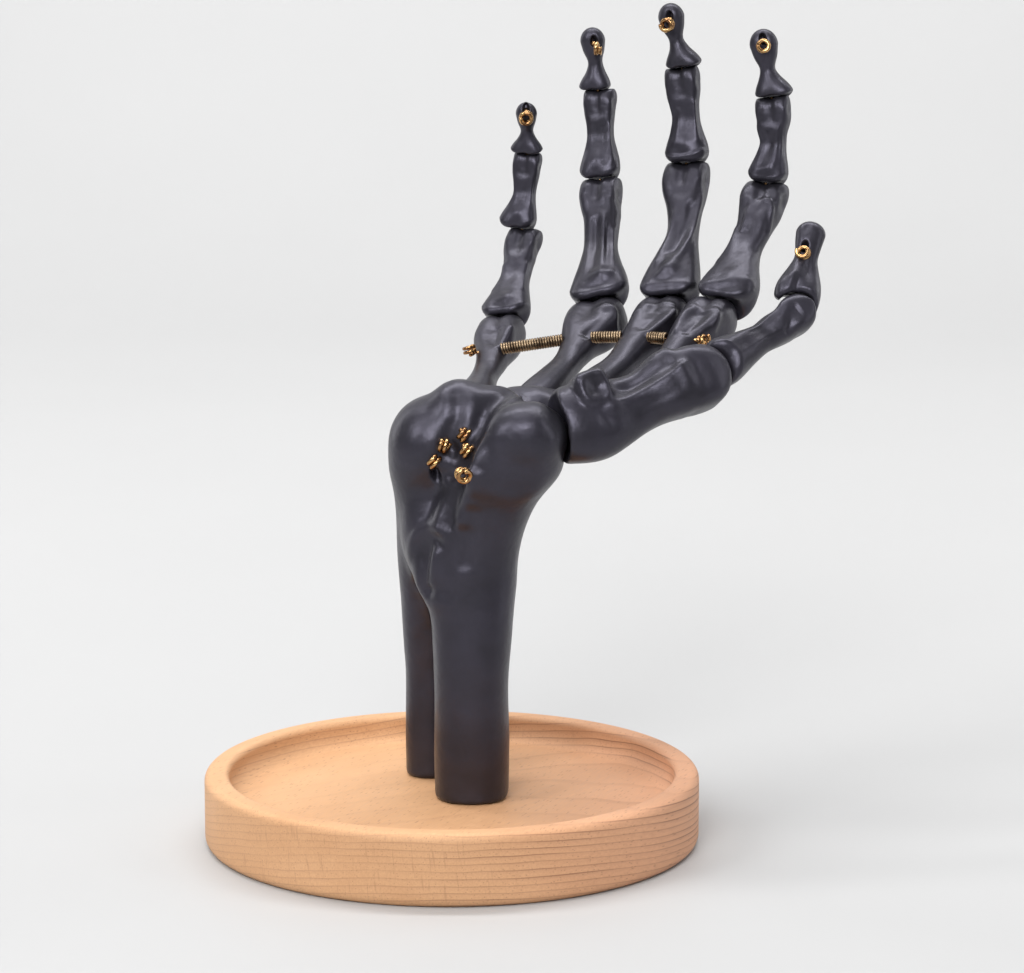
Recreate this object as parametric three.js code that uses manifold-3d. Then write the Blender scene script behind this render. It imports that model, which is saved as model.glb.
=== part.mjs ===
// A life-size skeleton hand that holds jewelry: black resin bones, strung on brass wire over a forked
// forearm that stands in a turned beech dish. Millimetres, +Z up. The origin is the middle of the dish's
// underside, and the fingers reach towards +X and +Y with the palm up.
import * as THREE from "three";
import { mergeVertices } from "three/addons/utils/BufferGeometryUtils.js";
import Module from "manifold-3d";

const wasm = await Module();
wasm.setup();

// Turned dish
const dishDiameter = 130;
const dishHeight = 19;
const dishRimWidth = 6.5;
const dishRecessDepth = 7;
const dishCoveRadius = 5;
const dishRimRadius = 2.6;
const dishFootRadius = 1.8;
const dishSegments = 48;

// Wood screws, up through the dish into the forearm's legs
const screwHeadDiameter = 8;
const screwHeadHeight = 3;
const screwHeadRecess = 1.6;
const screwShankDiameter = 4;
const screwDepthInLeg = 14;
const screwClearance = 0.3;
const screwSegments = 16;

// Forearm: sections of its two bones as [height from the fork, x, y, half width, half depth]
const forkHeight = 52;
const footInset = 0.6;
const radiusFoot = [5.2, -1.5, 9.4, 10.5];
const ulnaFoot = [-5.5, 21.6, 6.8, 7];
const radiusSections = [
  [-4, 5.3, -0.8, 10.3, 10.6],
  [8, 3.6, 0.6, 13.4, 11.4],
  [16, 4.6, 1, 13.4, 12],
  [26, 9, 0, 12.5, 12.5],
  [36, 15, -3, 14, 13],
  [46, 17, -4, 13, 11.5],
  [53, 17, -3, 9.5, 8],
];
const ulnaSections = [
  [-4, -6, 20, 7.5, 8],
  [11, -5.5, 16.5, 8.8, 10],
  [26, -5, 12, 9.8, 12],
  [38, -4.6, 8, 12.2, 12.5],
  [44, -4.2, 7, 13.2, 12.5],
  [49, -3, 6.5, 12, 11.5],
  [53, -0.8, 6, 10, 9],
  [57, 3, 5.4, 5.4, 5],
];
const carpalRow = { centre: [22, 18, 44], half: [24, 9.5, 9], turn: -14 };
const forearmSides = 16;
const forearmRoundness = 2.3;

// Joints between bones
const jointClearance = 0.5;
const socketClearance = 0.35;
const thumbSaddleRadius = 11;
const thumbSaddleSwing = 66;
const thumbSaddleRelief = 4;

// Directions of the hinges at rest: across the knuckles, and across the thumb
const knuckleAxis = new THREE.Vector3(0.92, -0.38, 0.1);
const thumbAxis = new THREE.Vector3(0.186, -0.893, 0.409);

// Bone outlines: shares of the shaft, of the head's radius and of the tuft's half width
const boneSides = 10;
const boneRoundness = 2.4;
const boneBow = 0.7;
const seatStart = 0.45;
const seatTaper = 0.9;
const collarShare = 0.06;
const flareShare = 0.2;
const neckShare = 1.9;
const tuftShare = 2.1;
// Rows of a head: how far past the pivot in head radii, then shares of its half width and radius
const headOutline = [[-0.7, 0.94, 0.93], [0.3, 0.8, 0.8]];
// Rows of a tuft: how far short of the tip in half widths, then shares of its half width and half depth
const tuftOutline = [[1.2, 1, 1], [0.45, 0.86, 0.9], [0, 0.35, 0.4]];
const barrelSegments = 12;
const ballSegments = 16;
const barrelShoulder = 0.6;
const barrelEnd = 0.74;

// Brass wires, with an eyelet at each fingertip and a wound end at the wrist
const wireDiameter = 1;
const boreClearance = 0.32;
const wireEndGap = 0.15;
const wireSides = 5;
const eyeletRadius = 1.5;
const eyeletTurns = 1.25;
const eyeletPitch = 1.5;
const eyeletStandoff = 0.35;
const tipHoleBend = 1.4;
const coilRadius = 1.35;
const coilTurns = 2.5;
const coilPitch = 1.5;
const coilSeatClearance = 0.4;
const coilSeatSides = 10;
const coilSeatReach = 9;
const coilStandoff = 0.4;
const boreOvershoot = 1;
const wristBend = 3.7;
const stepsPerTurn = 8;
const bendSteps = 2;

// Cross wire through the finger metacarpals, and the spacer springs on it
const crossWireSetback = 12.5;
const crossWirePalmar = 2.7;
const springWireDiameter = 0.7;
const springRadius = 1.4;
const springPitch = 1.25;
const springGap = 0.45;
const crossCoilGap = 0.6;

// Digits. aim is each bone's compass and climbing angle in degrees; length runs from pivot to pivot, or
// to the tip; base and waist are [width, depth]; head is [radius, width]; tuft is [width, depth].
// wristEye is where the digit's wire comes out of the wrist, tipHole how far short of the tip it comes out of
// the last bone, and eyeletRoll how far that is turned from the palm side. Places are measured from the fork.
const digits = {
  index: {
    root: [42, 17, 46],
    wristEye: [4.2, -4, 41.8],
    tipHole: 3.2,
    eyeletRoll: 17,
    metacarpal: { aim: [49.3, 26.4], length: 45.9, base: [10.4, 12], waist: [8, 7.6], head: [6.6, 13.2] },
    proximal: { aim: [56.5, 46.3], length: 42.4, base: [15.2, 11.6], waist: [9.4, 7.4], head: [4.7, 12.2] },
    middle: { aim: [53.5, 80.4], length: 24.6, base: [11.8, 8.8], waist: [7.2, 6], head: [3.5, 9.4] },
    distal: { aim: [151.1, 80.2], length: 22.2, base: [10.2, 7], waist: [4.7, 4.2],
      tuft: [8, 5.4], flare: 0.8 },
  },
  middle: {
    root: [31, 20, 46],
    wristEye: [3.4, -3, 45.8],
    tipHole: 4,
    eyeletRoll: -2,
    metacarpal: { aim: [54.8, 23.9], length: 48.2, base: [10.4, 12], waist: [8, 7.8], head: [6.6, 13.4] },
    proximal: { aim: [74.7, 50.3], length: 46.3, base: [15.4, 11.8], waist: [9.2, 7.6], head: [4.8, 12.6] },
    middle: { aim: [102.1, 81.9], length: 27.6, base: [12.4, 9], waist: [7.6, 6.2], head: [3.5, 9.6] },
    distal: { aim: [-172.8, 79.6], length: 21.5, base: [9.8, 7], waist: [4, 4],
      tuft: [7.4, 5.2], flare: 0.9 },
  },
  ring: {
    root: [19.5, 23, 45.5],
    wristEye: [-2.8, -4, 43.2],
    tipHole: 4.2,
    eyeletRoll: 40,
    metacarpal: { aim: [62.9, 23.3], length: 47.6, base: [10.4, 11.6], waist: [7.6, 7.2], head: [6.3, 13] },
    proximal: { aim: [87.4, 48.5], length: 42.6, base: [15.6, 11.2], waist: [9.4, 7.2], head: [4.5, 11.6] },
    middle: { aim: [95.4, 73.2], length: 26.4, base: [11.2, 8.6], waist: [7.4, 6], head: [3.4, 9.2] },
    distal: { aim: [-168.4, 84.4], length: 20.8, base: [8.6, 6.6], waist: [4.2, 4],
      tuft: [7, 5.2], flare: 0.5 },
  },
  little: {
    root: [4, 26, 44],
    wristEye: [-4.8, -3.4, 38.6],
    tipHole: 2,
    eyeletRoll: 20,
    metacarpal: { aim: [77.6, 21.1], length: 44, base: [12, 11], waist: [7, 6.6], head: [5.7, 12.6] },
    proximal: { aim: [77, 44.4], length: 33.2, base: [13.6, 9.8], waist: [7.8, 6.2], head: [3.8, 9.8] },
    middle: { aim: [63.9, 78.7], length: 22.3, base: [10.3, 7.4], waist: [6, 5.2], head: [2.9, 7.9] },
    distal: { aim: [-96, 78], length: 17.4, base: [9.2, 5.8], waist: [4.1, 3.7], tuft: [5.9, 4.6], flare: 0 },
  },
  thumb: {
    root: [19.7, -8, 45],
    wristEye: [3.8, -7.5, 37],
    tipHole: 8.6,
    eyeletRoll: 62,
    metacarpal: { aim: [18.7, 15], length: 47.5, base: [15, 18], waist: [11.4, 15],
      head: [8.6, 15.4], beak: 5.5 },
    proximal: { aim: [32, 24.5], length: 34.6, base: [14.4, 13.6], waist: [8.6, 8.8], head: [5.2, 11.4] },
    distal: { aim: [64, 60.4], length: 27, base: [12.4, 9], waist: [6.4, 5.6], tuft: [8, 5.8], flare: 0 },
  },
};
const fingerNames = ["index", "middle", "ring", "little"];
const crossWireOrder = ["little", "ring", "middle", "index"];

const beech = { color: 0xd8ab80, roughness: 0.55, metalness: 0 };
const blackResin = { color: 0x1b1a22, roughness: 0.42, metalness: 0 };
const brass = { color: 0xa9824a, roughness: 0.35, metalness: 1 };
const steel = { color: 0x9a9c9f, roughness: 0.4, metalness: 1 };

const floorHeight = dishHeight - dishRecessDepth;
const wireRadius = wireDiameter / 2;
const boreRadius = wireRadius + boreClearance;
const object = new THREE.Group();
const hand = new THREE.Group();
hand.position.set(0, 0, floorHeight + forkHeight);
object.add(hand);

function vector(list) {
  return new THREE.Vector3(...list);
}

function addMesh(parent, name, geometry, finish) {
  const mesh = new THREE.Mesh(geometry, new THREE.MeshStandardMaterial(finish));
  mesh.name = name;
  parent.add(mesh);
  return mesh;
}

// A closed skin over rings of equal count, each ring counter-clockwise seen from the next
function loft(rings) {
  const count = rings[0].length;
  const points = rings.flat();
  const last = points.length - count;
  const faces = [];
  for (let start = 0; start < last; start += count)
    for (let k = 0; k < count; k++) {
      const a = start + k;
      const b = start + ((k + 1) % count);
      faces.push(a, b, b + count, a, b + count, a + count);
    }
  const middleOf = (ring) => ring.reduce((sum, p) => sum.add(p), new THREE.Vector3()).divideScalar(count);
  const low = points.push(middleOf(rings[0])) - 1;
  const high = points.push(middleOf(rings.at(-1))) - 1;
  for (let k = 0; k < count; k++) {
    const next = (k + 1) % count;
    faces.push(low, next, k, high, last + k, last + next);
  }
  return new THREE.BufferGeometry().setFromPoints(points).setIndex(faces);
}

// A closed tube along points, its section carried along without twisting
function tube(points, radius, sides = wireSides) {
  const end = points.length - 1;
  let normal = new THREE.Vector3();
  const rings = points.map((point, i) => {
    const before = points[Math.max(i - 1, 0)];
    const tangent = points[Math.min(i + 1, end)].clone().sub(before).normalize();
    if (i === 0) normal = acrossTo(tangent);
    normal = normal.clone().addScaledVector(tangent, -normal.dot(tangent)).normalize();
    const side = tangent.clone().cross(normal);
    return Array.from({ length: sides }, (_, k) => {
      const angle = (2 * Math.PI * k) / sides;
      const spoke = normal.clone().multiplyScalar(Math.cos(angle)).addScaledVector(side, Math.sin(angle));
      return point.clone().addScaledVector(spoke, radius);
    });
  });
  return loft(rings);
}

// Any unit vector square to a direction
function acrossTo(direction) {
  const helper = Math.abs(direction.z) < 0.9 ? new THREE.Vector3(0, 0, 1) : new THREE.Vector3(1, 0, 0);
  return helper.cross(direction).normalize();
}

function solid(geometry) {
  const bare = new THREE.BufferGeometry();
  bare.setAttribute("position", geometry.getAttribute("position"));
  bare.setIndex(geometry.getIndex());
  const merged = mergeVertices(bare, 1e-4);
  return new wasm.Manifold(
    new wasm.Mesh({
      numProp: 3,
      vertProperties: merged.attributes.position.array,
      triVerts: new Uint32Array(merged.index.array),
    }),
  );
}

function geometryOf(made) {
  const mesh = made.getMesh();
  const geometry = new THREE.BufferGeometry();
  geometry.setAttribute("position", new THREE.BufferAttribute(mesh.vertProperties, 3));
  geometry.setIndex(new THREE.BufferAttribute(mesh.triVerts, 1));
  geometry.computeVertexNormals();
  return geometry;
}

// A superellipse ring at a height, with its centre moved off the axis
function oval(z, halfWidth, halfDepth, x, y, sides, roundness) {
  return Array.from({ length: sides }, (_, k) => {
    const angle = (2 * Math.PI * k) / sides;
    const c = Math.cos(angle);
    const s = Math.sin(angle);
    const across = Math.sign(c) * Math.abs(c) ** (2 / roundness);
    const deep = Math.sign(s) * Math.abs(s) ** (2 / roundness);
    return new THREE.Vector3(x + halfWidth * across, y + halfDepth * deep, z);
  });
}

// A solid turned about Z from [radius, height] pairs that start and end on the axis
function turned(profile, segments) {
  const points = profile.map(([r, z]) => new THREE.Vector2(r, z));
  return new THREE.LatheGeometry(points, segments).rotateX(Math.PI / 2);
}

// The least gap that a wire keeps to its own other turns, measured from point to point
function printLeastGap(name, points, diameter) {
  const nearby = 2.5 * diameter;
  const lengths = [0];
  points.slice(1).forEach((p, i) => lengths.push(lengths[i] + p.distanceTo(points[i])));
  let least = Infinity;
  points.forEach((p, i) =>
    points.forEach((q, j) => {
      if (lengths[j] - lengths[i] > nearby) least = Math.min(least, p.distanceTo(q) - diameter);
    }),
  );
  console.log(`${name}: least gap to itself ${least.toFixed(2)} mm`);
}

// Points of a winding that leaves its axis over half a turn, goes round it and ends straight
function winding(start, axis, radius, turns, pitch) {
  const first = acrossTo(axis);
  const second = axis.clone().cross(first);
  const steps = Math.round(turns * stepsPerTurn);
  const points = Array.from({ length: steps + 1 }, (_, i) => {
    const turn = i / stepsPerTurn;
    const reach = radius * Math.min(1, 2 * turn);
    const angle = 2 * Math.PI * turn;
    return start.clone()
      .addScaledVector(axis, pitch * turn)
      .addScaledVector(first, reach * Math.cos(angle))
      .addScaledVector(second, reach * Math.sin(angle));
  });
  const last = points.at(-1);
  const onward = last.clone().sub(points.at(-2)).normalize();
  return [...points, last.clone().addScaledVector(onward, wireDiameter)];
}

// Dish: a turned blank with a flat recess, coved at its wall and rounded at the rim and foot
function arc(centre, radius, from, to, steps) {
  return Array.from({ length: steps + 1 }, (_, i) => {
    const angle = THREE.MathUtils.degToRad(from + ((to - from) * i) / steps);
    return [centre[0] + radius * Math.cos(angle), centre[1] + radius * Math.sin(angle)];
  });
}

function screwPlaces() {
  return { radius_screw: radiusFoot, ulna_screw: ulnaFoot };
}

function screwProfile(spare) {
  const head = screwHeadDiameter / 2 + spare;
  const shank = screwShankDiameter / 2 + spare;
  const low = spare ? -boreOvershoot : screwHeadRecess;
  const top = floorHeight + screwDepthInLeg + spare;
  const seat = screwHeadRecess + screwHeadHeight;
  return [[0, low], [head, low], [head, seat], [shank, seat], [shank, top], [0, top]];
}

// The circle on the dish floor that both feet stand inside; the floor beyond it is free
function standReach() {
  return Math.max(...[radiusFoot, ulnaFoot].map(([x, y, w, d]) => Math.hypot(x, y) + Math.max(w, d)));
}

function makeDish() {
  const outer = dishDiameter / 2;
  const inner = outer - dishRimWidth;
  const rimRound = Math.min(dishRimRadius, dishRimWidth / 2);
  const cove = Math.min(dishCoveRadius, dishRecessDepth - rimRound);
  const profile = [
    [0, 0],
    ...arc([outer - dishFootRadius, dishFootRadius], dishFootRadius, -90, 0, 2),
    ...arc([outer - rimRound, dishHeight - rimRound], rimRound, 0, 90, 3),
    ...arc([inner + rimRound, dishHeight - rimRound], rimRound, 90, 180, 3),
    ...arc([inner - cove, floorHeight + cove], cove, 0, -90, 3),
    [standReach(), floorHeight],
    [0, floorHeight],
  ];
  let made = solid(turned(profile, dishSegments));
  for (const [x, y] of Object.values(screwPlaces()))
    made = made.subtract(solid(turned(screwProfile(screwClearance), screwSegments).translate(x, y, 0)));
  addMesh(object, "beech_dish", geometryOf(made), beech);
}

function makeScrews() {
  for (const [name, [x, y]] of Object.entries(screwPlaces())) {
    const mesh = addMesh(object, name, turned(screwProfile(0), screwSegments), steel);
    mesh.position.set(x, y, 0);
  }
}

// Each bone stands on its pivot: x along the hinge, y to the back of the hand, z towards the tip
function worldTurn(bone, axis) {
  const [turn, rise] = bone.aim.map(THREE.MathUtils.degToRad);
  const flat = Math.cos(rise);
  const z = new THREE.Vector3(flat * Math.cos(turn), flat * Math.sin(turn), Math.sin(rise));
  const x = axis.clone().addScaledVector(z, -axis.dot(z)).normalize();
  const y = z.clone().cross(x);
  return new THREE.Quaternion().setFromRotationMatrix(new THREE.Matrix4().makeBasis(x, y, z));
}

// Half width, half depth, sideways shift and bow of a bone at heights along it
function boneOutline(bone, seatRadius) {
  const [baseWidth, baseDepth] = bone.base.map((size) => size / 2);
  const [waistWidth, waistDepth] = bone.waist.map((size) => size / 2);
  const shift = bone.flare ?? 0;
  const collar = seatRadius + collarShare * (bone.length - seatRadius);
  const flare = seatRadius + flareShare * (bone.length - seatRadius);
  const upper = bone.tuft ? tuftRows(bone) : headRows(bone);
  return [
    [seatRadius * seatStart, seatTaper * baseWidth, seatTaper * baseDepth, shift, 0],
    [collar, baseWidth, baseDepth, shift, 0],
    [flare, (2 * baseWidth + waistWidth) / 3, (2 * baseDepth + waistDepth) / 3, shift / 2, boneBow / 2],
    [(flare + upper[0][0]) / 2, waistWidth, waistDepth, 0, boneBow],
    ...upper,
  ];
}

function tuftRows({ length, waist, tuft }) {
  const [width, depth] = tuft.map((size) => size / 2);
  return [
    [length - tuftShare * width, (waist[0] + width) / 3, (waist[1] + depth) / 3, 0, 0],
    ...tuftOutline.map(([short, wide, deep]) => [length - short * width, wide * width, deep * depth, 0, 0]),
  ];
}

function headRows({ length, waist, head: [radius, width] }) {
  const half = width / 2;
  return [
    [length - neckShare * radius, (waist[0] + half) / 3, (waist[1] + radius) / 3, 0, boneBow / 2],
    ...headOutline.map(([past, wide, deep]) => [length + past * radius, wide * half, deep * radius, 0, 0]),
  ];
}

function outlineLoft(rows, spare = 0) {
  const last = rows.length - 1;
  const rings = rows.map(([z, w, d, x, y], i) => {
    const height = z + (i === last ? spare : 0) - (i === 0 ? spare : 0);
    return oval(height, w + spare, d + spare, x, y, boneSides, boneRoundness);
  });
  return solid(loft(rings));
}

function halfWidthAt(rows, z) {
  const above = rows.findIndex((row) => row[0] > z);
  const [low, high] = [rows[above - 1], rows[above]];
  return THREE.MathUtils.mapLinear(z, low[0], high[0], low[1], high[1]);
}

// A round head about the hinge, narrowed at its ends
function barrel(radius, width) {
  const half = width / 2;
  const profile = [
    [0, -half],
    [barrelEnd * radius, -half],
    [radius, -barrelShoulder * half],
    [radius, barrelShoulder * half],
    [barrelEnd * radius, half],
    [0, half],
  ];
  return turned(profile, barrelSegments).rotateY(Math.PI / 2);
}

// A plain cylinder about the hinge, which cuts a seat
function roller(radius, width) {
  const half = width / 2;
  const profile = [[0, -half], [radius, -half], [radius, half], [0, half]];
  return turned(profile, barrelSegments).rotateY(Math.PI / 2);
}

function ball(radius) {
  return new THREE.SphereGeometry(radius, ballSegments, ballSegments / 2);
}

// Points that run up to a pivot, bend there towards a new aim and reach past it
function bentRun(pivot, aim, nextAim, bend, reach) {
  const before = pivot.clone().addScaledVector(aim, -bend);
  const after = pivot.clone().addScaledVector(nextAim, bend);
  const curve = new THREE.QuadraticBezierCurve3(before, pivot, after);
  return [...curve.getPoints(bendSteps), pivot.clone().addScaledVector(nextAim, reach)];
}

// A bone's wire from its seat along its axis and out of its head towards the next bone
function boneRun(bone, seatRadius, nextAim, spare) {
  const radius = bone.head[0];
  const start = new THREE.Vector3(0, 0, seatRadius + wireEndGap - spare);
  const pivot = new THREE.Vector3(0, 0, bone.length);
  return [start, ...bentRun(pivot, up(), nextAim, radius / 2, radius - wireEndGap + spare)];
}

// The last bone's wire, along its axis and out of its side near the tip
function tipRun({ bone, seatRadius }, { tipHole, eyeletRoll }, spare) {
  const start = new THREE.Vector3(0, 0, seatRadius + wireEndGap - spare);
  const corner = new THREE.Vector3(0, 0, bone.length - tipHole);
  const reach = tipSurface(bone, eyeletRoll) + spare;
  return [start, ...bentRun(corner, up(), palmSide(eyeletRoll), tipHoleBend, reach)];
}

// The way out of the palm side, turned about the bone's axis
function palmSide(roll) {
  return new THREE.Vector3(0, -1, 0).applyAxisAngle(up(), THREE.MathUtils.degToRad(roll));
}

// How far the tuft's side is from its axis that way
function tipSurface(bone, roll) {
  const angle = THREE.MathUtils.degToRad(roll);
  return Math.hypot(bone.tuft[0] * Math.sin(angle), bone.tuft[1] * Math.cos(angle)) / 2;
}

// The eyelet hangs below its hole, against the side that the wire comes out of
function eyeletPoints({ bone }, { tipHole, eyeletRoll }) {
  const height = bone.length - tipHole;
  const depth = tipSurface(bone, eyeletRoll) + wireRadius + eyeletStandoff;
  const steps = Math.round(eyeletTurns * stepsPerTurn);
  return Array.from({ length: steps + 1 }, (_, i) => {
    const angle = (2 * Math.PI * i) / stepsPerTurn;
    const point = new THREE.Vector3(Math.sin(angle), 0, Math.cos(angle) - 1).multiplyScalar(eyeletRadius);
    point.y = -depth - (eyeletPitch * i) / stepsPerTurn;
    point.applyAxisAngle(up(), THREE.MathUtils.degToRad(eyeletRoll));
    return point.add(new THREE.Vector3(0, 0, height));
  });
}

function up() {
  return new THREE.Vector3(0, 0, 1);
}

// The digit's bones from the root outwards, as nested groups that each stand on their pivot
function layOut(name) {
  const digit = digits[name];
  const axis = name === "thumb" ? thumbAxis : knuckleAxis;
  const kinds = ["metacarpal", "proximal", "middle", "distal"].filter((kind) => digit[kind]);
  let parent = hand;
  let inherited = new THREE.Quaternion();
  let place = vector(digit.root);
  let previousHead = name === "thumb" ? [thumbSaddleRadius] : null;
  return kinds.map((kind) => {
    const bone = digit[kind];
    const aim = worldTurn(bone, axis);
    const group = new THREE.Group();
    group.name = `${name}_${kind}_pivot`;
    group.position.copy(place);
    group.quaternion.copy(inherited.clone().invert().multiply(aim));
    parent.add(group);
    const seatRadius = previousHead ? previousHead[0] + jointClearance : 0;
    const link = { name, kind, bone, group, seatRadius, aim, rows: boneOutline(bone, seatRadius) };
    parent = group;
    inherited = aim;
    place = new THREE.Vector3(0, 0, bone.length);
    previousHead = bone.head;
    return link;
  });
}

// The turn from one bone's frame to the next, or none after the last
function nextTurn(chain, i) {
  const next = chain[i + 1];
  return next ? chain[i].aim.clone().invert().multiply(next.aim) : null;
}

function makeBones(name, chain, crossBore) {
  chain.forEach((link, i) => {
    const { kind, bone, group, seatRadius, rows } = link;
    const turn = nextTurn(chain, i);
    let made = outlineLoft(rows);
    if (bone.beak) made = made.add(beakOf(bone, seatRadius));
    if (turn) made = made.add(solid(barrel(...bone.head).applyQuaternion(turn).translate(0, 0, bone.length)));
    if (seatRadius) made = made.subtract(seatOf(link));
    for (const bore of boneBores(name, link, turn, crossBore)) made = made.subtract(bore);
    addMesh(group, `${name}_${kind}`, geometryOf(made), blackResin);
  });
}

// The hollow that a bone's base turns on: a roller's for a hinge, or a ball's at the thumb's root
function seatOf({ kind, bone, seatRadius }) {
  const isRoot = kind === "metacarpal";
  return solid(isRoot ? ball(seatRadius) : roller(seatRadius, 2 * Math.max(...bone.base)));
}

function boneBores(name, link, turn, crossBore) {
  const { kind, bone, group, seatRadius } = link;
  if (!turn) return [solid(tube(tipRun(link, digits[name], boreOvershoot), boreRadius))];
  const onward = up().applyQuaternion(turn);
  if (seatRadius) return [solid(tube(boneRun(bone, seatRadius, onward, boreOvershoot), boreRadius))];
  const toBone = group.matrix.clone().invert();
  return [
    solid(tube(wristRun(name, boreOvershoot), boreRadius).applyMatrix4(toBone)),
    solid(crossBore.clone().applyMatrix4(toBone)),
  ];
}

// The thumb metacarpal's beak, a knob on the palm side of its base
function beakOf(bone, seatRadius) {
  return solid(ball(bone.beak).translate(0, -bone.base[1] / 2, seatRadius + bone.beak));
}

// A wire's first length, from the wrist: through the block to the metacarpal's root, then up the finger's
// metacarpal to its head, or for the thumb out of the saddle
function wristRun(name, spare) {
  const { root, wristEye } = digits[name];
  const chain = chains[name];
  const [start, pivot] = [vector(wristEye), vector(root)];
  const inward = pivot.clone().sub(start).normalize();
  const along = up().applyQuaternion(chain[0].aim);
  const first = start.addScaledVector(inward, -spare);
  const saddleReach = thumbSaddleRadius - wireEndGap + spare;
  if (name === "thumb") return [first, ...bentRun(pivot, inward, along, wristBend, saddleReach)];
  const { bone } = chain[0];
  const knuckle = pivot.clone().addScaledVector(along, bone.length);
  const onward = up().applyQuaternion(chain[1].aim);
  const radius = bone.head[0];
  const low = bentRun(pivot, inward, along, wristBend, bone.length / 2);
  return [first, ...low, ...bentRun(knuckle, along, onward, radius / 2, radius - wireEndGap + spare)];
}

function wristCoil(name) {
  const { root, wristEye } = digits[name];
  const outward = vector(wristEye).sub(vector(root)).normalize();
  const start = vector(wristEye).addScaledVector(outward, coilStandoff);
  return winding(start, outward, coilRadius, coilTurns, coilPitch);
}

function makeWires(name, chain) {
  const wrist = [...wristCoil(name).reverse(), ...wristRun(name, 0)];
  printLeastGap(`${name} wrist wire`, wrist, wireDiameter);
  addMesh(hand, `${name}_wrist_wire`, tube(wrist, wireRadius), brass);
  chain.forEach((link, i) => {
    const { kind, bone, group, seatRadius } = link;
    const turn = nextTurn(chain, i);
    if (!seatRadius) return;
    const points = turn
      ? boneRun(bone, seatRadius, up().applyQuaternion(turn), 0)
      : [...tipRun(link, digits[name], 0), ...eyeletPoints(link, digits[name])];
    if (!turn) printLeastGap(`${name} tip wire`, points, wireDiameter);
    addMesh(group, `${name}_${turn ? kind : "tip"}_wire`, tube(points, wireRadius), brass);
  });
}

// Where the cross wire passes each finger metacarpal, on the palm side of its axis
function crossPlace(name) {
  const { bone, group } = chains[name][0];
  return new THREE.Vector3(0, -crossWirePalmar, bone.length - crossWireSetback).applyMatrix4(group.matrix);
}

function crossHalfWidth(name) {
  const { bone, rows } = chains[name][0];
  return halfWidthAt(rows, bone.length - crossWireSetback);
}

function crossRun() {
  const places = crossWireOrder.map(crossPlace);
  const first = places[0].clone().sub(places[1]).normalize();
  const last = places.at(-1).clone().sub(places.at(-2)).normalize();
  const reach = (name) => crossHalfWidth(name) + crossCoilGap;
  const start = places[0].clone().addScaledVector(first, reach(crossWireOrder[0]));
  const end = places.at(-1).clone().addScaledVector(last, reach(crossWireOrder.at(-1)));
  const before = winding(start, first, coilRadius, coilTurns, coilPitch).reverse();
  const after = winding(end, last, coilRadius, coilTurns, coilPitch);
  return { straight: [start, ...places, end], before, after };
}

function makeSprings() {
  crossWireOrder.slice(1).forEach((name, i) => {
    const previous = crossWireOrder[i];
    const [from, to] = [crossPlace(previous), crossPlace(name)];
    const axis = to.clone().sub(from).normalize();
    from.addScaledVector(axis, crossHalfWidth(previous) + springGap);
    to.addScaledVector(axis, -crossHalfWidth(name) - springGap);
    const points = springPoints(from, to, axis);
    printLeastGap(`${previous} to ${name} spring`, points, springWireDiameter);
    addMesh(hand, `${previous}_${name}_spring`, tube(points, springWireDiameter / 2), brass);
  });
}

// A helix between two places, its ends run out straight along the axis
function springPoints(from, to, axis) {
  const first = acrossTo(axis);
  const second = axis.clone().cross(first);
  const wound = from.distanceTo(to) - 2 * springWireDiameter;
  const steps = Math.round((wound / springPitch) * stepsPerTurn);
  const at = (height, angle) =>
    from.clone()
      .addScaledVector(axis, height)
      .addScaledVector(first, springRadius * Math.cos(angle))
      .addScaledVector(second, springRadius * Math.sin(angle));
  const turns = Array.from({ length: steps + 1 }, (_, i) =>
    at(springWireDiameter + (wound * i) / steps, (2 * Math.PI * i) / stepsPerTurn));
  const finish = (2 * Math.PI * steps) / stepsPerTurn;
  return [at(0, 0), ...turns, at(wound + 2 * springWireDiameter, finish)];
}

function legLoft(foot, sections) {
  const [x, y, w, d] = foot;
  const rows = [
    [-forkHeight, x, y, w - footInset, d - footInset],
    [-forkHeight + 2 * footInset, x, y, w, d],
    [-forkHeight / 2, x, y, w, d],
    ...sections,
  ];
  const ring = ([z, cx, cy, halfX, halfY]) => oval(z, halfX, halfY, cx, cy, forearmSides, forearmRoundness);
  return solid(loft(rows.map(ring)));
}

function carpalRowSolid() {
  const lump = ball(1).rotateX(Math.PI / 2).scale(...carpalRow.half);
  lump.rotateZ(THREE.MathUtils.degToRad(carpalRow.turn));
  return solid(lump.translate(...carpalRow.centre));
}

// The space in which the thumb's base swings round its saddle
function thumbRelief({ group }) {
  const radius = thumbSaddleRadius + thumbSaddleRelief;
  const low = thumbSaddleRadius * Math.cos(THREE.MathUtils.degToRad(thumbSaddleSwing));
  const block = new THREE.BoxGeometry(2 * radius, 2 * radius, radius).translate(0, 0, low + radius / 2);
  return solid(ball(radius).applyMatrix4(group.matrix)).intersect(solid(block.applyMatrix4(group.matrix)));
}

function makeForearm() {
  const thumb = chains.thumb[0];
  let made = legLoft(radiusFoot, radiusSections).add(legLoft(ulnaFoot, ulnaSections)).add(carpalRowSolid());
  made = made.subtract(thumbRelief(thumb));
  made = made.add(solid(ball(thumbSaddleRadius).applyMatrix4(thumb.group.matrix)));
  for (const name of fingerNames) {
    const { rows, group } = chains[name][0];
    made = made.subtract(outlineLoft(rows, socketClearance).transform(group.matrix.toArray()));
  }
  for (const [x, y] of Object.values(screwPlaces()))
    made = made.subtract(
      solid(turned(screwProfile(screwClearance), screwSegments).translate(x, y, -hand.position.z)),
    );
  for (const name of Object.keys(digits))
    made = made.subtract(solid(tube(wristRun(name, boreOvershoot), boreRadius))).subtract(coilSeat(name));
  addMesh(hand, "forearm", geometryOf(made), blackResin);
}

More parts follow.
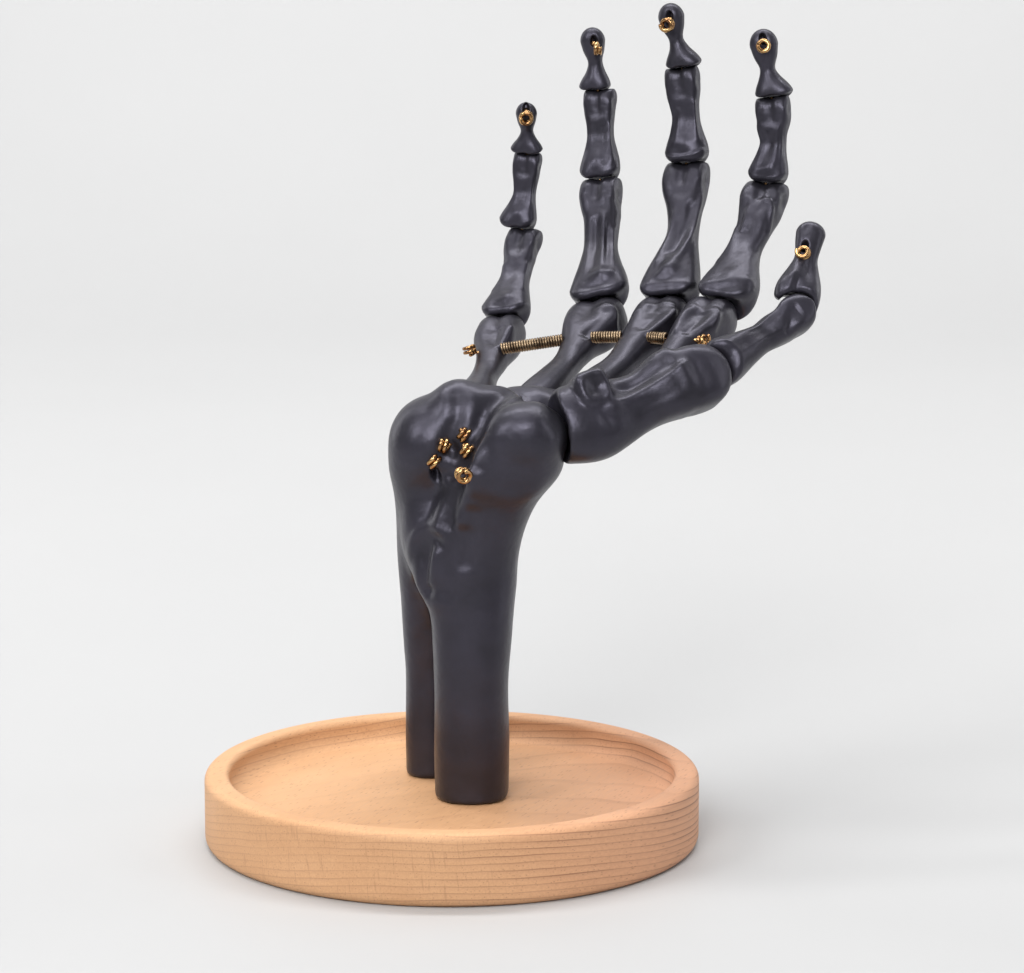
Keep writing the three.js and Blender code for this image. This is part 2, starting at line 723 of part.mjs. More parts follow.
// A round seat in the wrist for a wire's wound end
function coilSeat(name) {
  const { root, wristEye } = digits[name];
  const outward = vector(wristEye).sub(vector(root)).normalize();
  const start = vector(wristEye);
  const end = start.clone().addScaledVector(outward, coilSeatReach);
  return solid(tube([start, end], coilRadius + wireRadius + coilSeatClearance, coilSeatSides));
}

makeDish();
makeScrews();
const chains = {};
for (const name of Object.keys(digits)) chains[name] = layOut(name);
object.updateMatrixWorld(true);
makeForearm();
const cross = crossRun();
const crossBore = tube(cross.straight, boreRadius);
for (const [name, chain] of Object.entries(chains)) {
  makeBones(name, chain, crossBore);
  makeWires(name, chain);
}
const crossPoints = [...cross.before, ...cross.straight, ...cross.after];
printLeastGap("cross wire", crossPoints, wireDiameter);
addMesh(hand, "cross_wire", tube(crossPoints, wireRadius), brass);
makeSprings();

export default object;
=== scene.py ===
import bpy
import numpy as np
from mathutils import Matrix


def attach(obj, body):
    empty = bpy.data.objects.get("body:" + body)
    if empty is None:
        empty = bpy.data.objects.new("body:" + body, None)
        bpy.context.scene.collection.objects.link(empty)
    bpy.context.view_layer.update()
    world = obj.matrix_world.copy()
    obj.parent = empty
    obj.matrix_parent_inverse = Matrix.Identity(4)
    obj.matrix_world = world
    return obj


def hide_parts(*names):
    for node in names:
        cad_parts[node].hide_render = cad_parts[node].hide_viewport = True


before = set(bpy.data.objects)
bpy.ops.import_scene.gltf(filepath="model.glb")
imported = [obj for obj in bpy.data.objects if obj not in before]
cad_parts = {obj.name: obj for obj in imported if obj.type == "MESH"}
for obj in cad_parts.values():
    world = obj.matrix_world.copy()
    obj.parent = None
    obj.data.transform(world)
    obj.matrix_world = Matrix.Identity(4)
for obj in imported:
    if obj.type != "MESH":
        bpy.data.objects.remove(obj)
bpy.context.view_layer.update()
print("frame loaded:", len(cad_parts), "nodes")

mm = 0.001  # shapes are worked out in millimetres and put into meshes in metres


# meshes from arrays
def readPoints(mesh, what):
    values = np.zeros(len(mesh.vertices) * 3, np.float32)
    mesh.vertices.foreach_get(what, values)
    return values.reshape(-1, 3)


def writePoints(mesh, points):
    mesh.vertices.foreach_set("co", (np.asarray(points) * mm).astype(np.float32).ravel())


def makeMesh(name, points, faceGroups):
    # points in millimetres; each group of faces is a whole array of corner indices
    mesh = bpy.data.meshes.new(name)
    corners = np.concatenate([g.ravel() for g in faceGroups]).astype(np.int32)
    sizes = np.concatenate([np.full(len(g), g.shape[1]) for g in faceGroups])
    starts = np.concatenate([[0], np.cumsum(sizes)[:-1]]).astype(np.int32)
    mesh.vertices.add(len(points))
    mesh.loops.add(len(corners))
    mesh.polygons.add(len(sizes))
    writePoints(mesh, points)
    mesh.loops.foreach_set("vertex_index", corners)
    mesh.polygons.foreach_set("loop_start", starts)
    mesh.polygons.foreach_set("use_smooth", np.ones(len(sizes), bool))
    mesh.update(calc_edges=True)
    mesh.validate()
    return mesh


def skinFaces(rows, first):
    # a grid that closes round on itself, with a fan to a middle point at each end
    n, cols = rows.shape[:2]
    k = np.arange(cols)
    after = (k + 1) % cols
    start = np.arange(n - 1)[:, None] * cols
    quads = np.stack([start + k, start + after, start + cols + after, start + cols + k], -1).reshape(-1, 4)
    low = np.stack([np.full(cols, n * cols), after, k], -1)
    high = np.stack([np.full(cols, n * cols + 1), (n - 1) * cols + k, (n - 1) * cols + after], -1)
    points = np.concatenate([rows.reshape(-1, 3), rows[:1].mean(1), rows[-1:].mean(1)])
    return points, quads + first, np.concatenate([low, high]) + first


def meshOfSkins(name, skins):
    points, quads, fans, first = [], [], [], 0
    for rows in skins:
        p, four, three = skinFaces(rows, first)
        points.append(p)
        quads.append(four)
        fans.append(three)
        first += len(p)
    return makeMesh(name, np.concatenate(points), [np.concatenate(quads), np.concatenate(fans)])


def addObject(name, data):
    thing = bpy.data.objects.new(name, data)
    bpy.context.scene.collection.objects.link(thing)
    return thing


def addPiece(name, mesh, body, material, node):
    piece = addObject(name, mesh)
    mesh.materials.append(material)
    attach(piece, body)
    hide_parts(node)


# camera at the photograph's angle
view = {"place": (0.0158, -1.0154, 0.2865), "pitch": 10.71, "lens": 139.89}


def placeCamera():
    camera = addObject("camera", bpy.data.cameras.new("camera"))
    camera.data.sensor_width = 36
    camera.data.lens = view["lens"]
    camera.location = view["place"]
    camera.rotation_euler = (np.radians(90 - view["pitch"]), 0, 0)
    bpy.context.scene.camera = camera


placeCamera()


# curves and bumps shared by the shapes
def smoothRun(keys, at):
    # cubic through the keys; each slope is the harmonic mean of its neighbours' so no key is overshot
    keys = np.asarray(keys, float)
    z, v = keys[:, 0], keys[:, 1:]
    step = np.diff(z)[:, None]
    rise = np.diff(v, axis=0) / step
    slope = np.concatenate([rise[:1], np.zeros((len(z) - 2, v.shape[1])), rise[-1:]])
    same = rise[1:] * rise[:-1] > 0
    total = np.where(same, rise[1:] + rise[:-1], 1)
    slope[1:-1] = np.where(same, 2 * rise[1:] * rise[:-1] / total, 0)
    i = np.clip(np.searchsorted(z, at) - 1, 0, len(z) - 2)
    h = step[i]
    u = ((at - z[i]) / h[:, 0])[:, None]
    return ((1 + 2 * u) * (1 - u) ** 2 * v[i] + u * (1 - u) ** 2 * h * slope[i]
            + u * u * (3 - 2 * u) * v[i + 1] + u * u * (u - 1) * h * slope[i + 1])


def blurRun(values, spread):
    # a bell-shaped mean over neighbouring rows; past the ends the run goes on as its own mirror
    reach = int(3 * spread)
    weights = np.exp(-(np.arange(-reach, reach + 1) / spread) ** 2 / 2)
    weights /= weights.sum()
    low, high = 2 * values[:1] - values[reach:0:-1], 2 * values[-1:] - values[-2:-reach - 2:-1]
    longer = np.concatenate([low, values, high])
    return np.stack([np.convolve(column, weights, "valid") for column in longer.T], -1)


def hill(x, middle, width):
    return np.exp(-((x - middle) / width) ** 2)


def ease(x, low, high):
    t = np.clip((x - low) / (high - low), 0, 1)
    return t * t * (3 - 2 * t)


def turnGap(angle, middle):
    # signed difference of two angles in degrees, from -180 to 180
    return (np.degrees(angle) - middle + 180) % 360 - 180


def ripple(seed, a, b, count=6):
    # a sum of slow waves over two coordinates, with seeded directions and phases
    rng = np.random.default_rng(seed)
    turns, phases = rng.uniform(0, 2 * np.pi, (2, count))
    scales = rng.uniform(0.6, 1.6, count)
    waves = [np.sin(s * (a * np.cos(t) + b * np.sin(t)) + p) for s, t, p in zip(scales, turns, phases)]
    return np.sum(waves, 0) / count


def roundPath(path, passes=3):
    # corners cut at a quarter of each stretch, again and again; the ends stay
    path = np.asarray(path, float)
    for _ in range(passes):
        near, far = 0.75 * path[:-1] + 0.25 * path[1:], 0.25 * path[:-1] + 0.75 * path[1:]
        path = np.concatenate([path[:1], np.stack([near, far], 1).reshape(-1, 2), path[-1:]])
    return path


def acrossPath(x, z, path):
    # distance from each point to the nearest stretch of a path, positive to the left of its run, and the share
    # of the path that lies before that place
    path = roundPath(path)
    p = np.stack([x, z], -1)[:, None, :]
    a, b = path[:-1], path[1:]
    run = b - a
    t = np.clip(((p - a) * run).sum(-1) / (run ** 2).sum(-1), 0, 1)
    off = p - a - t[..., None] * run
    far = np.linalg.norm(off, axis=-1)
    nearest = far.argmin(1)[:, None]
    side = np.sign(run[:, 0] * off[..., 1] - run[:, 1] * off[..., 0])
    sizes = np.linalg.norm(run, axis=1)
    passed = (np.cumsum(sizes) - sizes + t * sizes) / sizes.sum()
    return np.take_along_axis(far * side, nearest, 1)[:, 0], np.take_along_axis(passed, nearest, 1)[:, 0]


def lineRise(x, z, path, crest, rightSpread, leftSpread, height, tail):
    # a bell across a path, its crest off to one side and its two slopes apart, fading in and out along the run
    gap, passed = acrossPath(x, z, path)
    gap = gap - crest
    fade = ease(passed, 0, 0.16) * (1 - ease(passed, tail, 1))
    return height * fade * hill(gap, 0, np.where(gap > 0, leftSpread, rightSpread))


def unitWay(vector):
    return np.asarray(vector, float) / np.linalg.norm(vector)


def cosSin(degrees):
    return np.cos(np.radians(degrees)), np.sin(np.radians(degrees))


def ringAngles(cols):
    return np.linspace(0, 2 * np.pi, cols, endpoint=False)


def bowed(v, power):
    # a sine or cosine, swollen as a superellipse of that power wants it
    return np.sign(v) * np.abs(v) ** (2 / power)


def superOval(angle, half, back, palm, power):
    # a superellipse with one half width, and its own half depth to the back and to the palm
    s = np.sin(angle)
    return bowed(np.cos(angle), power) * half, bowed(s, power) * np.where(s > 0, back, palm)


def unitBlock(power, limit, cols):
    # a superellipsoid of size one, as rings from near one pole to near the other
    t, a = np.radians(np.linspace(-limit, limit, 40))[:, None], ringAngles(cols)[None, :]
    ring, up = bowed(np.cos(t), power), bowed(np.sin(t), power)
    return np.stack([ring * bowed(np.cos(a), power), ring * bowed(np.sin(a), power), up + 0 * a], -1)


# materials
def newMaterial(name):
    material = bpy.data.materials.new(name)
    material.use_nodes = True
    tree = material.node_tree
    return material, tree, tree.nodes["Principled BSDF"].inputs


def feed(tree, socket, value):
    # a socket takes another node's output or a plain value
    if isinstance(value, bpy.types.NodeSocket):
        tree.links.new(value, socket)
    else:
        socket.default_value = value


def addNode(tree, kind, **values):
    node = tree.nodes.new("ShaderNode" + kind)
    for key, value in values.items():
        if key in node.inputs:
            feed(tree, node.inputs[key], value)
        else:
            setattr(node, key, value)
    return node


def rampBetween(tree, factor, span, low, high):
    node = addNode(tree, "ValToRGB", Fac=factor)
    for element, place, colour in zip(node.color_ramp.elements, span, (low, high)):
        element.position = place
        element.color = (*colour, 1)
    return node.outputs["Color"]


def addMath(tree, kind, *values):
    node = addNode(tree, "Math", operation=kind)
    for socket, value in zip(node.inputs, values):
        feed(tree, socket, value)
    return node.outputs[0]


def addDot(tree, vector, way):
    node = addNode(tree, "VectorMath", operation="DOT_PRODUCT")
    feed(tree, node.inputs[0], vector)
    feed(tree, node.inputs[1], tuple(way))
    return node.outputs["Value"]


def addRange(tree, value, low, high, toLow, toHigh, kind="SMOOTHSTEP"):
    limits = {"From Min": low, "From Max": high, "To Min": toLow, "To Max": toHigh}
    return addNode(tree, "MapRange", interpolation_type=kind, Value=value, **limits).outputs["Result"]


def stretched(tree, vector, scale):
    return addNode(tree, "Mapping", Vector=vector, Scale=scale).outputs["Vector"]


def addNoise(tree, vector, scale, detail):
    # noise stretched by its own scale along each axis of the vector
    vector = stretched(tree, vector, scale)
    return addNode(tree, "TexNoise", Vector=vector, Scale=1.0, Detail=detail).outputs["Fac"]


def addTint(tree, factor, under, over, blend="MIX"):
    node = addNode(tree, "Mix", data_type="RGBA", blend_type=blend, Factor=factor)
    for socket, value in zip([i for i in node.inputs if i.type == "RGBA"], (under, over)):
        feed(tree, socket, (*value, 1) if isinstance(value, tuple) else value)
    return [o for o in node.outputs if o.type == "RGBA"][0]


def addBump(tree, height, strength, distance, **under):
    return addNode(tree, "Bump", Height=height, Strength=strength, Distance=distance, **under).outputs["Normal"]


def makeMottle():
    # slow and fine noise over Object coordinates: a mask, and a fine height for bumps
    group = bpy.data.node_groups.new("mottle", "ShaderNodeTree")
    for name, way in (("Slow Scale", "INPUT"), ("Fine Scale", "INPUT"), ("Mask", "OUTPUT"), ("Fine", "OUTPUT")):
        group.interface.new_socket(name, in_out=way, socket_type="NodeSocketFloat")
    inside = group.nodes.new("NodeGroupInput")
    outside = group.nodes.new("NodeGroupOutput")
    place = addNode(group, "TexCoord").outputs["Object"]
    for scale, out, detail, rough in (("Slow Scale", "Mask", 3.0, 0.55), ("Fine Scale", "Fine", 4.0, 0.6)):
        noise = addNode(group, "TexNoise", Vector=place, Scale=inside.outputs[scale], Detail=detail,
                        Roughness=rough)
        group.links.new(noise.outputs["Fac"], outside.inputs[out])
    return group


mottle = makeMottle()


def addMottle(tree, slow, fine):
    node = addNode(tree, "Group", node_tree=mottle, **{"Slow Scale": slow, "Fine Scale": fine})
    return node.outputs["Mask"], node.outputs["Fine"]


def paintNoise(tree, sockets, look):
    # the tint follows the slow noise, the roughness the fine one
    slow, fine = addMottle(tree, *look["scales"])
    tree.links.new(rampBetween(tree, slow, look["span"], look["dark"], look["light"]), sockets["Base Color"])
    tree.links.new(addRange(tree, fine, 0, 1, *look["rough"], "LINEAR"), sockets["Roughness"])
    return slow, fine


resinLook = {
    "dark": (0.0105, 0.0099, 0.0122), "light": (0.0185, 0.0172, 0.0235), "rough": (0.30, 0.44),
    "scales": (90.0, 1400.0), "span": (0.35, 0.7), "shine": 0.55, "shineTint": (0.82, 0.79, 1, 1),
    "peel": (0.12, 0.0002), "wave": (0.5, 0.001),  # bump strength and distance
}


def makeResin():
    # cast resin, painted satin black: a fine orange peel over the casting's slow unevenness
    material, tree, sockets = newMaterial("satin black resin")
    slow, fine = paintNoise(tree, sockets, resinLook)
    sockets["Specular IOR Level"].default_value = resinLook["shine"]
    sockets["Specular Tint"].default_value = resinLook["shineTint"]
    wave = addBump(tree, slow, *resinLook["wave"])
    tree.links.new(addBump(tree, fine, *resinLook["peel"], Normal=wave), sockets["Normal"])
    return material


metalLook = {"scales": (420.0, 2600.0), "span": (0.36, 0.6), "bump": (0.1, 0.0001)}
brassLook = {"light": (0.56, 0.35, 0.155), "dark": (0.25, 0.125, 0.055), "rough": (0.12, 0.28)}
springLook = {"light": (0.34, 0.25, 0.16), "dark": (0.14, 0.095, 0.06), "rough": (0.3, 0.5)}
zincLook = {"light": (0.56, 0.57, 0.58), "dark": (0.3, 0.3, 0.31), "rough": (0.3, 0.45)}


def makeMetal(name, look):
    # bright metal with dull patches and a faintly uneven face
    material, tree, sockets = newMaterial(name)
    fine = paintNoise(tree, sockets, {**metalLook, **look})[1]
    sockets["Metallic"].default_value = 1
    tree.links.new(addBump(tree, fine, *metalLook["bump"]), sockets["Normal"])
    return material


resin = makeResin()
brass = makeMetal("drawn brass", brassLook)
springMetal = makeMetal("dull spring brass", springLook)
zinc = makeMetal("plain zinc", zincLook)


# beech: rings are wide shells about a far pith line, seen as near-level lines round the side
beechLook = {
    "pale": (0.685, 0.402, 0.216), "warm": (0.61, 0.343, 0.176), "pink": (0.635, 0.335, 0.205),
    "line": (0.24, 0.115, 0.065), "fleck": (0.27, 0.14, 0.075), "end": (0.46, 0.26, 0.14),
    "thread": (0.80, 0.76, 0.72), "threadShare": 0.6, "endShare": 0.28, "shine": 0.3, "bump": (0.10, 0.0002),
    "grain": (0.42, 0.90, -0.097), "up": (-0.05, 0.13, 1.0), "pith": 0.55, "rings": 560.0, "shake": 0.0035,
}
# noise scales along the grain, across it and out from the pith
beechScales = {
    "shake": (9, 26, 60), "patch": (18, 30, 170), "dash": (170, 1300, 1300), "ray": (90, 1500, 130),
    "fibre": (70, 2300, 2300), "cloud": (14, 40, 60),
}
# smooth steps: from one value to another, and what they turn into
beechSteps = {
    "endGrain": (0.62, 0.98, 0.0, 1.0), "slow": (0.25, 0.95, 0.0, 0.28), "late": (0.76, 0.97, 0.0, 1.0),
    "early": (0.0, 0.05, 1.0, 0.0), "patch": (0.3, 0.7, 0.35, 1.0), "right": (-0.05, 0.045, 0.3, 0.95),
    "level": (0.5, 0.98, 1.0, 0.22), "fleck": (0.10, 0.24, 0.5, 0.0), "ray": (0.60, 0.72, 0.0, 0.3),
    "pink": (-0.01, 0.065, 0.0, 0.8), "rough": (0.3, 0.7, 0.5, 0.66),
}


def makeGrainSpace():
    # object coordinates turned into the wood's own: along the grain, across it, and out from the pith
    up, grain = unitWay(beechLook["up"]), np.array(beechLook["grain"])
    along = unitWay(grain - up * (up @ grain))
    group = bpy.data.node_groups.new("grain space", "ShaderNodeTree")
    group.interface.new_socket("Vector", in_out="OUTPUT", socket_type="NodeSocketVector")
    group.interface.new_socket("End Grain", in_out="OUTPUT", socket_type="NodeSocketFloat")
    outside = group.nodes.new("NodeGroupOutput")
    place = addNode(group, "TexCoord").outputs
    ways = {"X": along, "Y": np.cross(up, along), "Z": up}
    joined = addNode(group, "CombineXYZ", **{k: addDot(group, place["Object"], way) for k, way in ways.items()})
    group.links.new(joined.outputs["Vector"], outside.inputs["Vector"])
    facing = addMath(group, "ABSOLUTE", addDot(group, place["Normal"], along))
    group.links.new(addRange(group, facing, *beechSteps["endGrain"]), outside.inputs["End Grain"])
    return group


def makeBeech():
    look, scales, steps = beechLook, beechScales, beechSteps
    material, tree, sockets = newMaterial("oiled beech")
    wood = addNode(tree, "Group", node_tree=makeGrainSpace()).outputs
    grain, endGrain = wood["Vector"], wood["End Grain"]
    place = addNode(tree, "TexCoord").outputs
    toRight = addNode(tree, "SeparateXYZ", Vector=place["Object"]).outputs["X"]
    facingUp = addNode(tree, "SeparateXYZ", Vector=place["Normal"]).outputs["Z"]
    parts = addNode(tree, "SeparateXYZ", Vector=grain).outputs

    def step(value, name):
        return addRange(tree, value, *steps[name])

    def noise(name, detail):
        return addNoise(tree, grain, scales[name], detail)

    def times(a, b):
        return addMath(tree, "MULTIPLY", a, b)

    # ring count: distance from the pith line, shaken slowly, times rings a metre
    deep = addMath(tree, "ADD", parts["Z"], look["pith"])
    reach = addMath(tree, "SQRT", addMath(tree, "ADD", times(deep, deep), times(parts["Y"], parts["Y"])))
    shaken = addMath(tree, "MULTIPLY_ADD", noise("shake", 2.0), look["shake"], reach)
    phase = addMath(tree, "FRACT", times(shaken, look["rings"]))
    # each ring darkens slowly and ends in a thin line; lines are strong to the right and patchy elsewhere
    late = addMath(tree, "MAXIMUM", step(phase, "slow"), step(phase, "late"))
    line = addMath(tree, "MAXIMUM", late, step(phase, "early"))
    strong = times(step(toRight, "right"), step(facingUp, "level"))
    lineMask = times(line, times(step(noise("patch", 2.0), "patch"), strong))
    # short flecks lie along the grain; on end grain fine rays cross the rings
    cell = addNode(tree, "TexVoronoi", Vector=stretched(tree, grain, scales["dash"]), Scale=1.0)
    fleck = step(cell.outputs["Distance"], "fleck")
    rays = times(step(noise("ray", 2.0), "ray"), endGrain)
    fibre = noise("fibre", 3.0)
    cloud = rampBetween(tree, noise("cloud", 3.0), (0.32, 0.68), look["warm"], look["pale"])
    colour = addTint(tree, step(toRight, "pink"), cloud, look["pink"])
    colour = addTint(tree, times(endGrain, look["endShare"]), colour, look["end"])
    threads = rampBetween(tree, fibre, (0.3, 0.7), look["thread"], (1, 1, 1))
    colour = addTint(tree, look["threadShare"], colour, threads, "MULTIPLY")
    for mask, tint in ((lineMask, "line"), (fleck, "fleck"), (rays, "fleck")):
        colour = addTint(tree, mask, colour, look[tint])
    tree.links.new(colour, sockets["Base Color"])
    tree.links.new(step(fibre, "rough"), sockets["Roughness"])
    sockets["Specular IOR Level"].default_value = look["shine"]
    tree.links.new(addBump(tree, addMath(tree, "SUBTRACT", fibre, lineMask), *look["bump"]), sockets["Normal"])
    return material


beech = makeBeech()
print("materials made")


# dish: a profile turned about the upright
dish = {
    "radius": 65, "height": 19, "rim": 6.5, "recess": 7, "cove": 4.4,
    "rimRound": 2.2, "innerRound": 1.5, "footRound": 2.6, "cols": 224,
}


def roundCorner(centre, radius, start, end, steps):
    angle = np.radians(np.linspace(start, end, steps))
    return np.stack([centre[0] + radius * np.cos(angle), centre[1] + radius * np.sin(angle)], -1)


def makeDish():
    outer, top, floor = dish["radius"], dish["height"], dish["height"] - dish["recess"]
    inner = outer - dish["rim"]
    foot, rim, lip, cove = dish["footRound"], dish["rimRound"], dish["innerRound"], dish["cove"]
    profile = np.concatenate([
        np.stack([np.linspace(1, outer - foot, 14), np.zeros(14)], -1),
        roundCorner((outer - foot, foot), foot, -90, 0, 7),
        np.stack([np.full(8, outer), np.linspace(foot, top - rim, 10)[1:-1]], -1),
        roundCorner((outer - rim, top - rim), rim, 0, 90, 9),
        roundCorner((inner + lip, top - lip), lip, 90, 180, 9),
        roundCorner((inner - cove, floor + cove), cove, 0, -90, 8),
        np.stack([np.linspace(inner - cove, 1, 22)[1:], np.full(21, floor)], -1),
    ])
    turn = ringAngles(dish["cols"])
    r, z = profile[:, :1], profile[:, 1:]
    rows = np.stack([r * np.cos(turn), r * np.sin(turn), z + 0 * turn], -1)
    addPiece("turned_dish", meshOfSkins("turned_dish", [rows]), "stand", beech, "beech_dish")


makeDish()
print("dish made")

# the hand's plan: aim is each bone's compass and climbing angle, length runs from pivot to pivot or to the
# tip, base and waist are (width, depth), head is (radius, width), tuft is (width, depth); flare gives places
# along the bone with the base's share in the section there, narrow the waist's place
knuckleAxis = np.array([0.92, -0.38, 0.1])
thumbAxis = np.array([0.186, -0.893, 0.409])
jointClearance = 0.5
saddleRadius = 11
hand = {
    "index": {
        "root": (42, 17, 110), "tipHole": 3.2, "roll": 17, "twist": 0,
        "metacarpal": dict(aim=(49.3, 26.4), length=45.9, base=(10.4, 12), waist=(8, 7.6), head=(6.6, 13.4)),
        "proximal": dict(aim=(56.5, 46.3), length=42.4, base=(16.2, 11.8), waist=(9.2, 7.4), head=(4.7, 12.2),
                         shift=(2.2, 1.2, 0.2), flare=((0.16, 0.96), (0.26, 0.66), (0.38, 0.24))),
        "middle": dict(aim=(53.5, 80.4), length=24.6, base=(11.2, 8.8), waist=(7, 6), head=(3.5, 9.4),
                       shift=(0.5, 1.0, 0.1)),
        "distal": dict(aim=(151.1, 80.2), length=22.2, base=(10.6, 7), waist=(3.9, 4.0), tuft=(8, 5.6),
                       shift=(1.1, 0, 0)),
    },
    "middle": {
        "root": (31, 20, 110), "tipHole": 4.0, "roll": -2, "twist": 0,
        "metacarpal": dict(aim=(54.8, 23.9), length=48.2, base=(10.4, 12), waist=(8, 7.8), head=(6.6, 13.6)),
        "proximal": dict(aim=(74.7, 50.3), length=46.3, base=(16.4, 11.8), waist=(8.8, 7.6), head=(4.8, 12.6),
                         shift=(0.9, 1.6, 0)),
        "middle": dict(aim=(102.1, 81.9), length=27.6, base=(12.2, 9), waist=(7.4, 6.2), head=(3.5, 9.6),
                       shift=(0.5, 0.4, -0.4)),
        "distal": dict(aim=(-172.8, 79.6), length=21.5, base=(10.2, 7), waist=(3.7, 3.8), tuft=(7.3, 5.4),
                       shift=(0.9, 0, -0.5)),
    },
    "ring": {
        "root": (19.5, 23, 109.5), "tipHole": 4.2, "roll": 30, "twist": 74,
        "metacarpal": dict(aim=(62.9, 23.3), length=47.6, base=(10.4, 11.6), waist=(7.6, 7.2), head=(6.3, 15.6),
                           shift=(0, 0, -0.6)),
        "proximal": dict(aim=(87.4, 48.5), length=42.6, base=(16, 11.2), waist=(9.2, 7.2), head=(4.5, 11.6),
                         shift=(0.4, 0.1, 0)),
        "middle": dict(aim=(95.4, 73.2), length=26.4, base=(11.2, 8.6), waist=(7.2, 6), head=(3.4, 9.2),
                       shift=(0, 0.3, 0.5)),
        "distal": dict(aim=(-168.4, 84.4), length=20.8, base=(9, 6.6), waist=(3.8, 3.8), tuft=(7, 5.4),
                       shift=(-0.5, 0, 0)),
    },
    "little": {
        "root": (4, 26, 108), "tipHole": 1.9, "roll": 20, "twist": 0,
        "metacarpal": dict(aim=(77.6, 21.1), length=44, base=(12, 11), waist=(7, 6.8), head=(5.7, 12.6)),
        "proximal": dict(aim=(77, 44.4), length=33.2, base=(13.6, 9.8), waist=(7.8, 6.2), head=(3.8, 9.8),
                         shift=(0, 0.7, 0.9)),
        "middle": dict(aim=(63.9, 78.7), length=22.3, base=(10.6, 7.4), waist=(5.8, 5.2), head=(2.9, 7.9),
                       shift=(-1.0, 0, 0)),
        "distal": dict(aim=(-96, 78), length=17.4, base=(9.2, 5.8), waist=(3.2, 3.4), tuft=(5.9, 4.8)),
    },
    "thumb": {
        "root": (19.7, -8, 109), "tipHole": 8.6, "roll": 62, "twist": 0,
        "metacarpal": dict(aim=(18.7, 15), length=47.5, base=(15, 18.6), waist=(11.4, 14.6), head=(8.6, 15.4)),
        "proximal": dict(aim=(32, 24.5), length=34.6, base=(13.2, 12.8), waist=(7, 6.9), head=(5.2, 11.4),
                         flare=((0.16, 0.84), (0.32, 0.5), (0.48, 0.2)), narrow=0.64),
        "distal": dict(aim=(64, 60.4), length=27, base=(10, 12.1), waist=(5.6, 6.1), tuft=(6.4, 7.7),
                       flare=((0.17, 0.86), (0.36, 0.36)), narrow=0.52),
    },
}
boneOrder = ("metacarpal", "proximal", "middle", "distal")


def boneFrame(aim, hinge):
    # columns: x along the hinge, y to the back of the hand, z towards the tip
    turn, rise = np.radians(aim)
    z = np.array([np.cos(rise) * np.cos(turn), np.cos(rise) * np.sin(turn), np.sin(rise)])
    x = unitWay(hinge - z * (hinge @ z))
    return np.stack([x, np.cross(z, x), z], 1)


def layOut(digit):
    plan = hand[digit]
    hinge = thumbAxis if digit == "thumb" else knuckleAxis
    place = np.array(plan["root"], float)
    seat = saddleRadius + jointClearance if digit == "thumb" else 0
    chain = []
    for kind in [k for k in boneOrder if k in plan]:
        bone = plan[kind]
        axes = boneFrame(bone["aim"], hinge)
        chain.append(dict(digit=digit, kind=kind, bone=bone, place=place, axes=axes, seat=seat))
        place = place + axes[:, 2] * bone["length"]
        seat = bone["head"][0] + jointClearance if "head" in bone else 0
    return chain


def toWorld(link, points):
    return points @ link["axes"].T + link["place"]


boneLook = {
    "cols": 128, "shaftRows": 104, "endRows": 18, "filletRows": 5, "floorRows": 7, "floorStart": 0.08,
    "power": 2.35, "headPower": 0.7, "endPower": 2.5, "lumps": 0.05, "blur": 8,
    "groove": {"metacarpal": 0.13, "proximal": 0.2, "middle": 0.2}, "grooveWidth": 0.26, "headSpare": 0.18,
    "level": {"proximal": 0.3, "middle": 0.5, "distal": 0.7, "thumb": 0.15},  # of the rim's front
    "levelFade": (70, 120), "front": 270, "thumbFront": 330,
    "notch": (0.12, 22), "thumbLip": (1.7, -42, 42), "rootLift": (3.6, 8, 48),  # heights, angles, spreads
    "fillet": {"metacarpal": (1.3, 1.3), "proximal": (1.4, 3.8), "middle": (1.3, 2.6), "distal": (0.8, 0.9),
               "thumb": (1.5, 1.5)},
    "tipDent": (0.85, 1.35, 0.5, 2.3),  # half width, half height, lift above the wire, depth
}
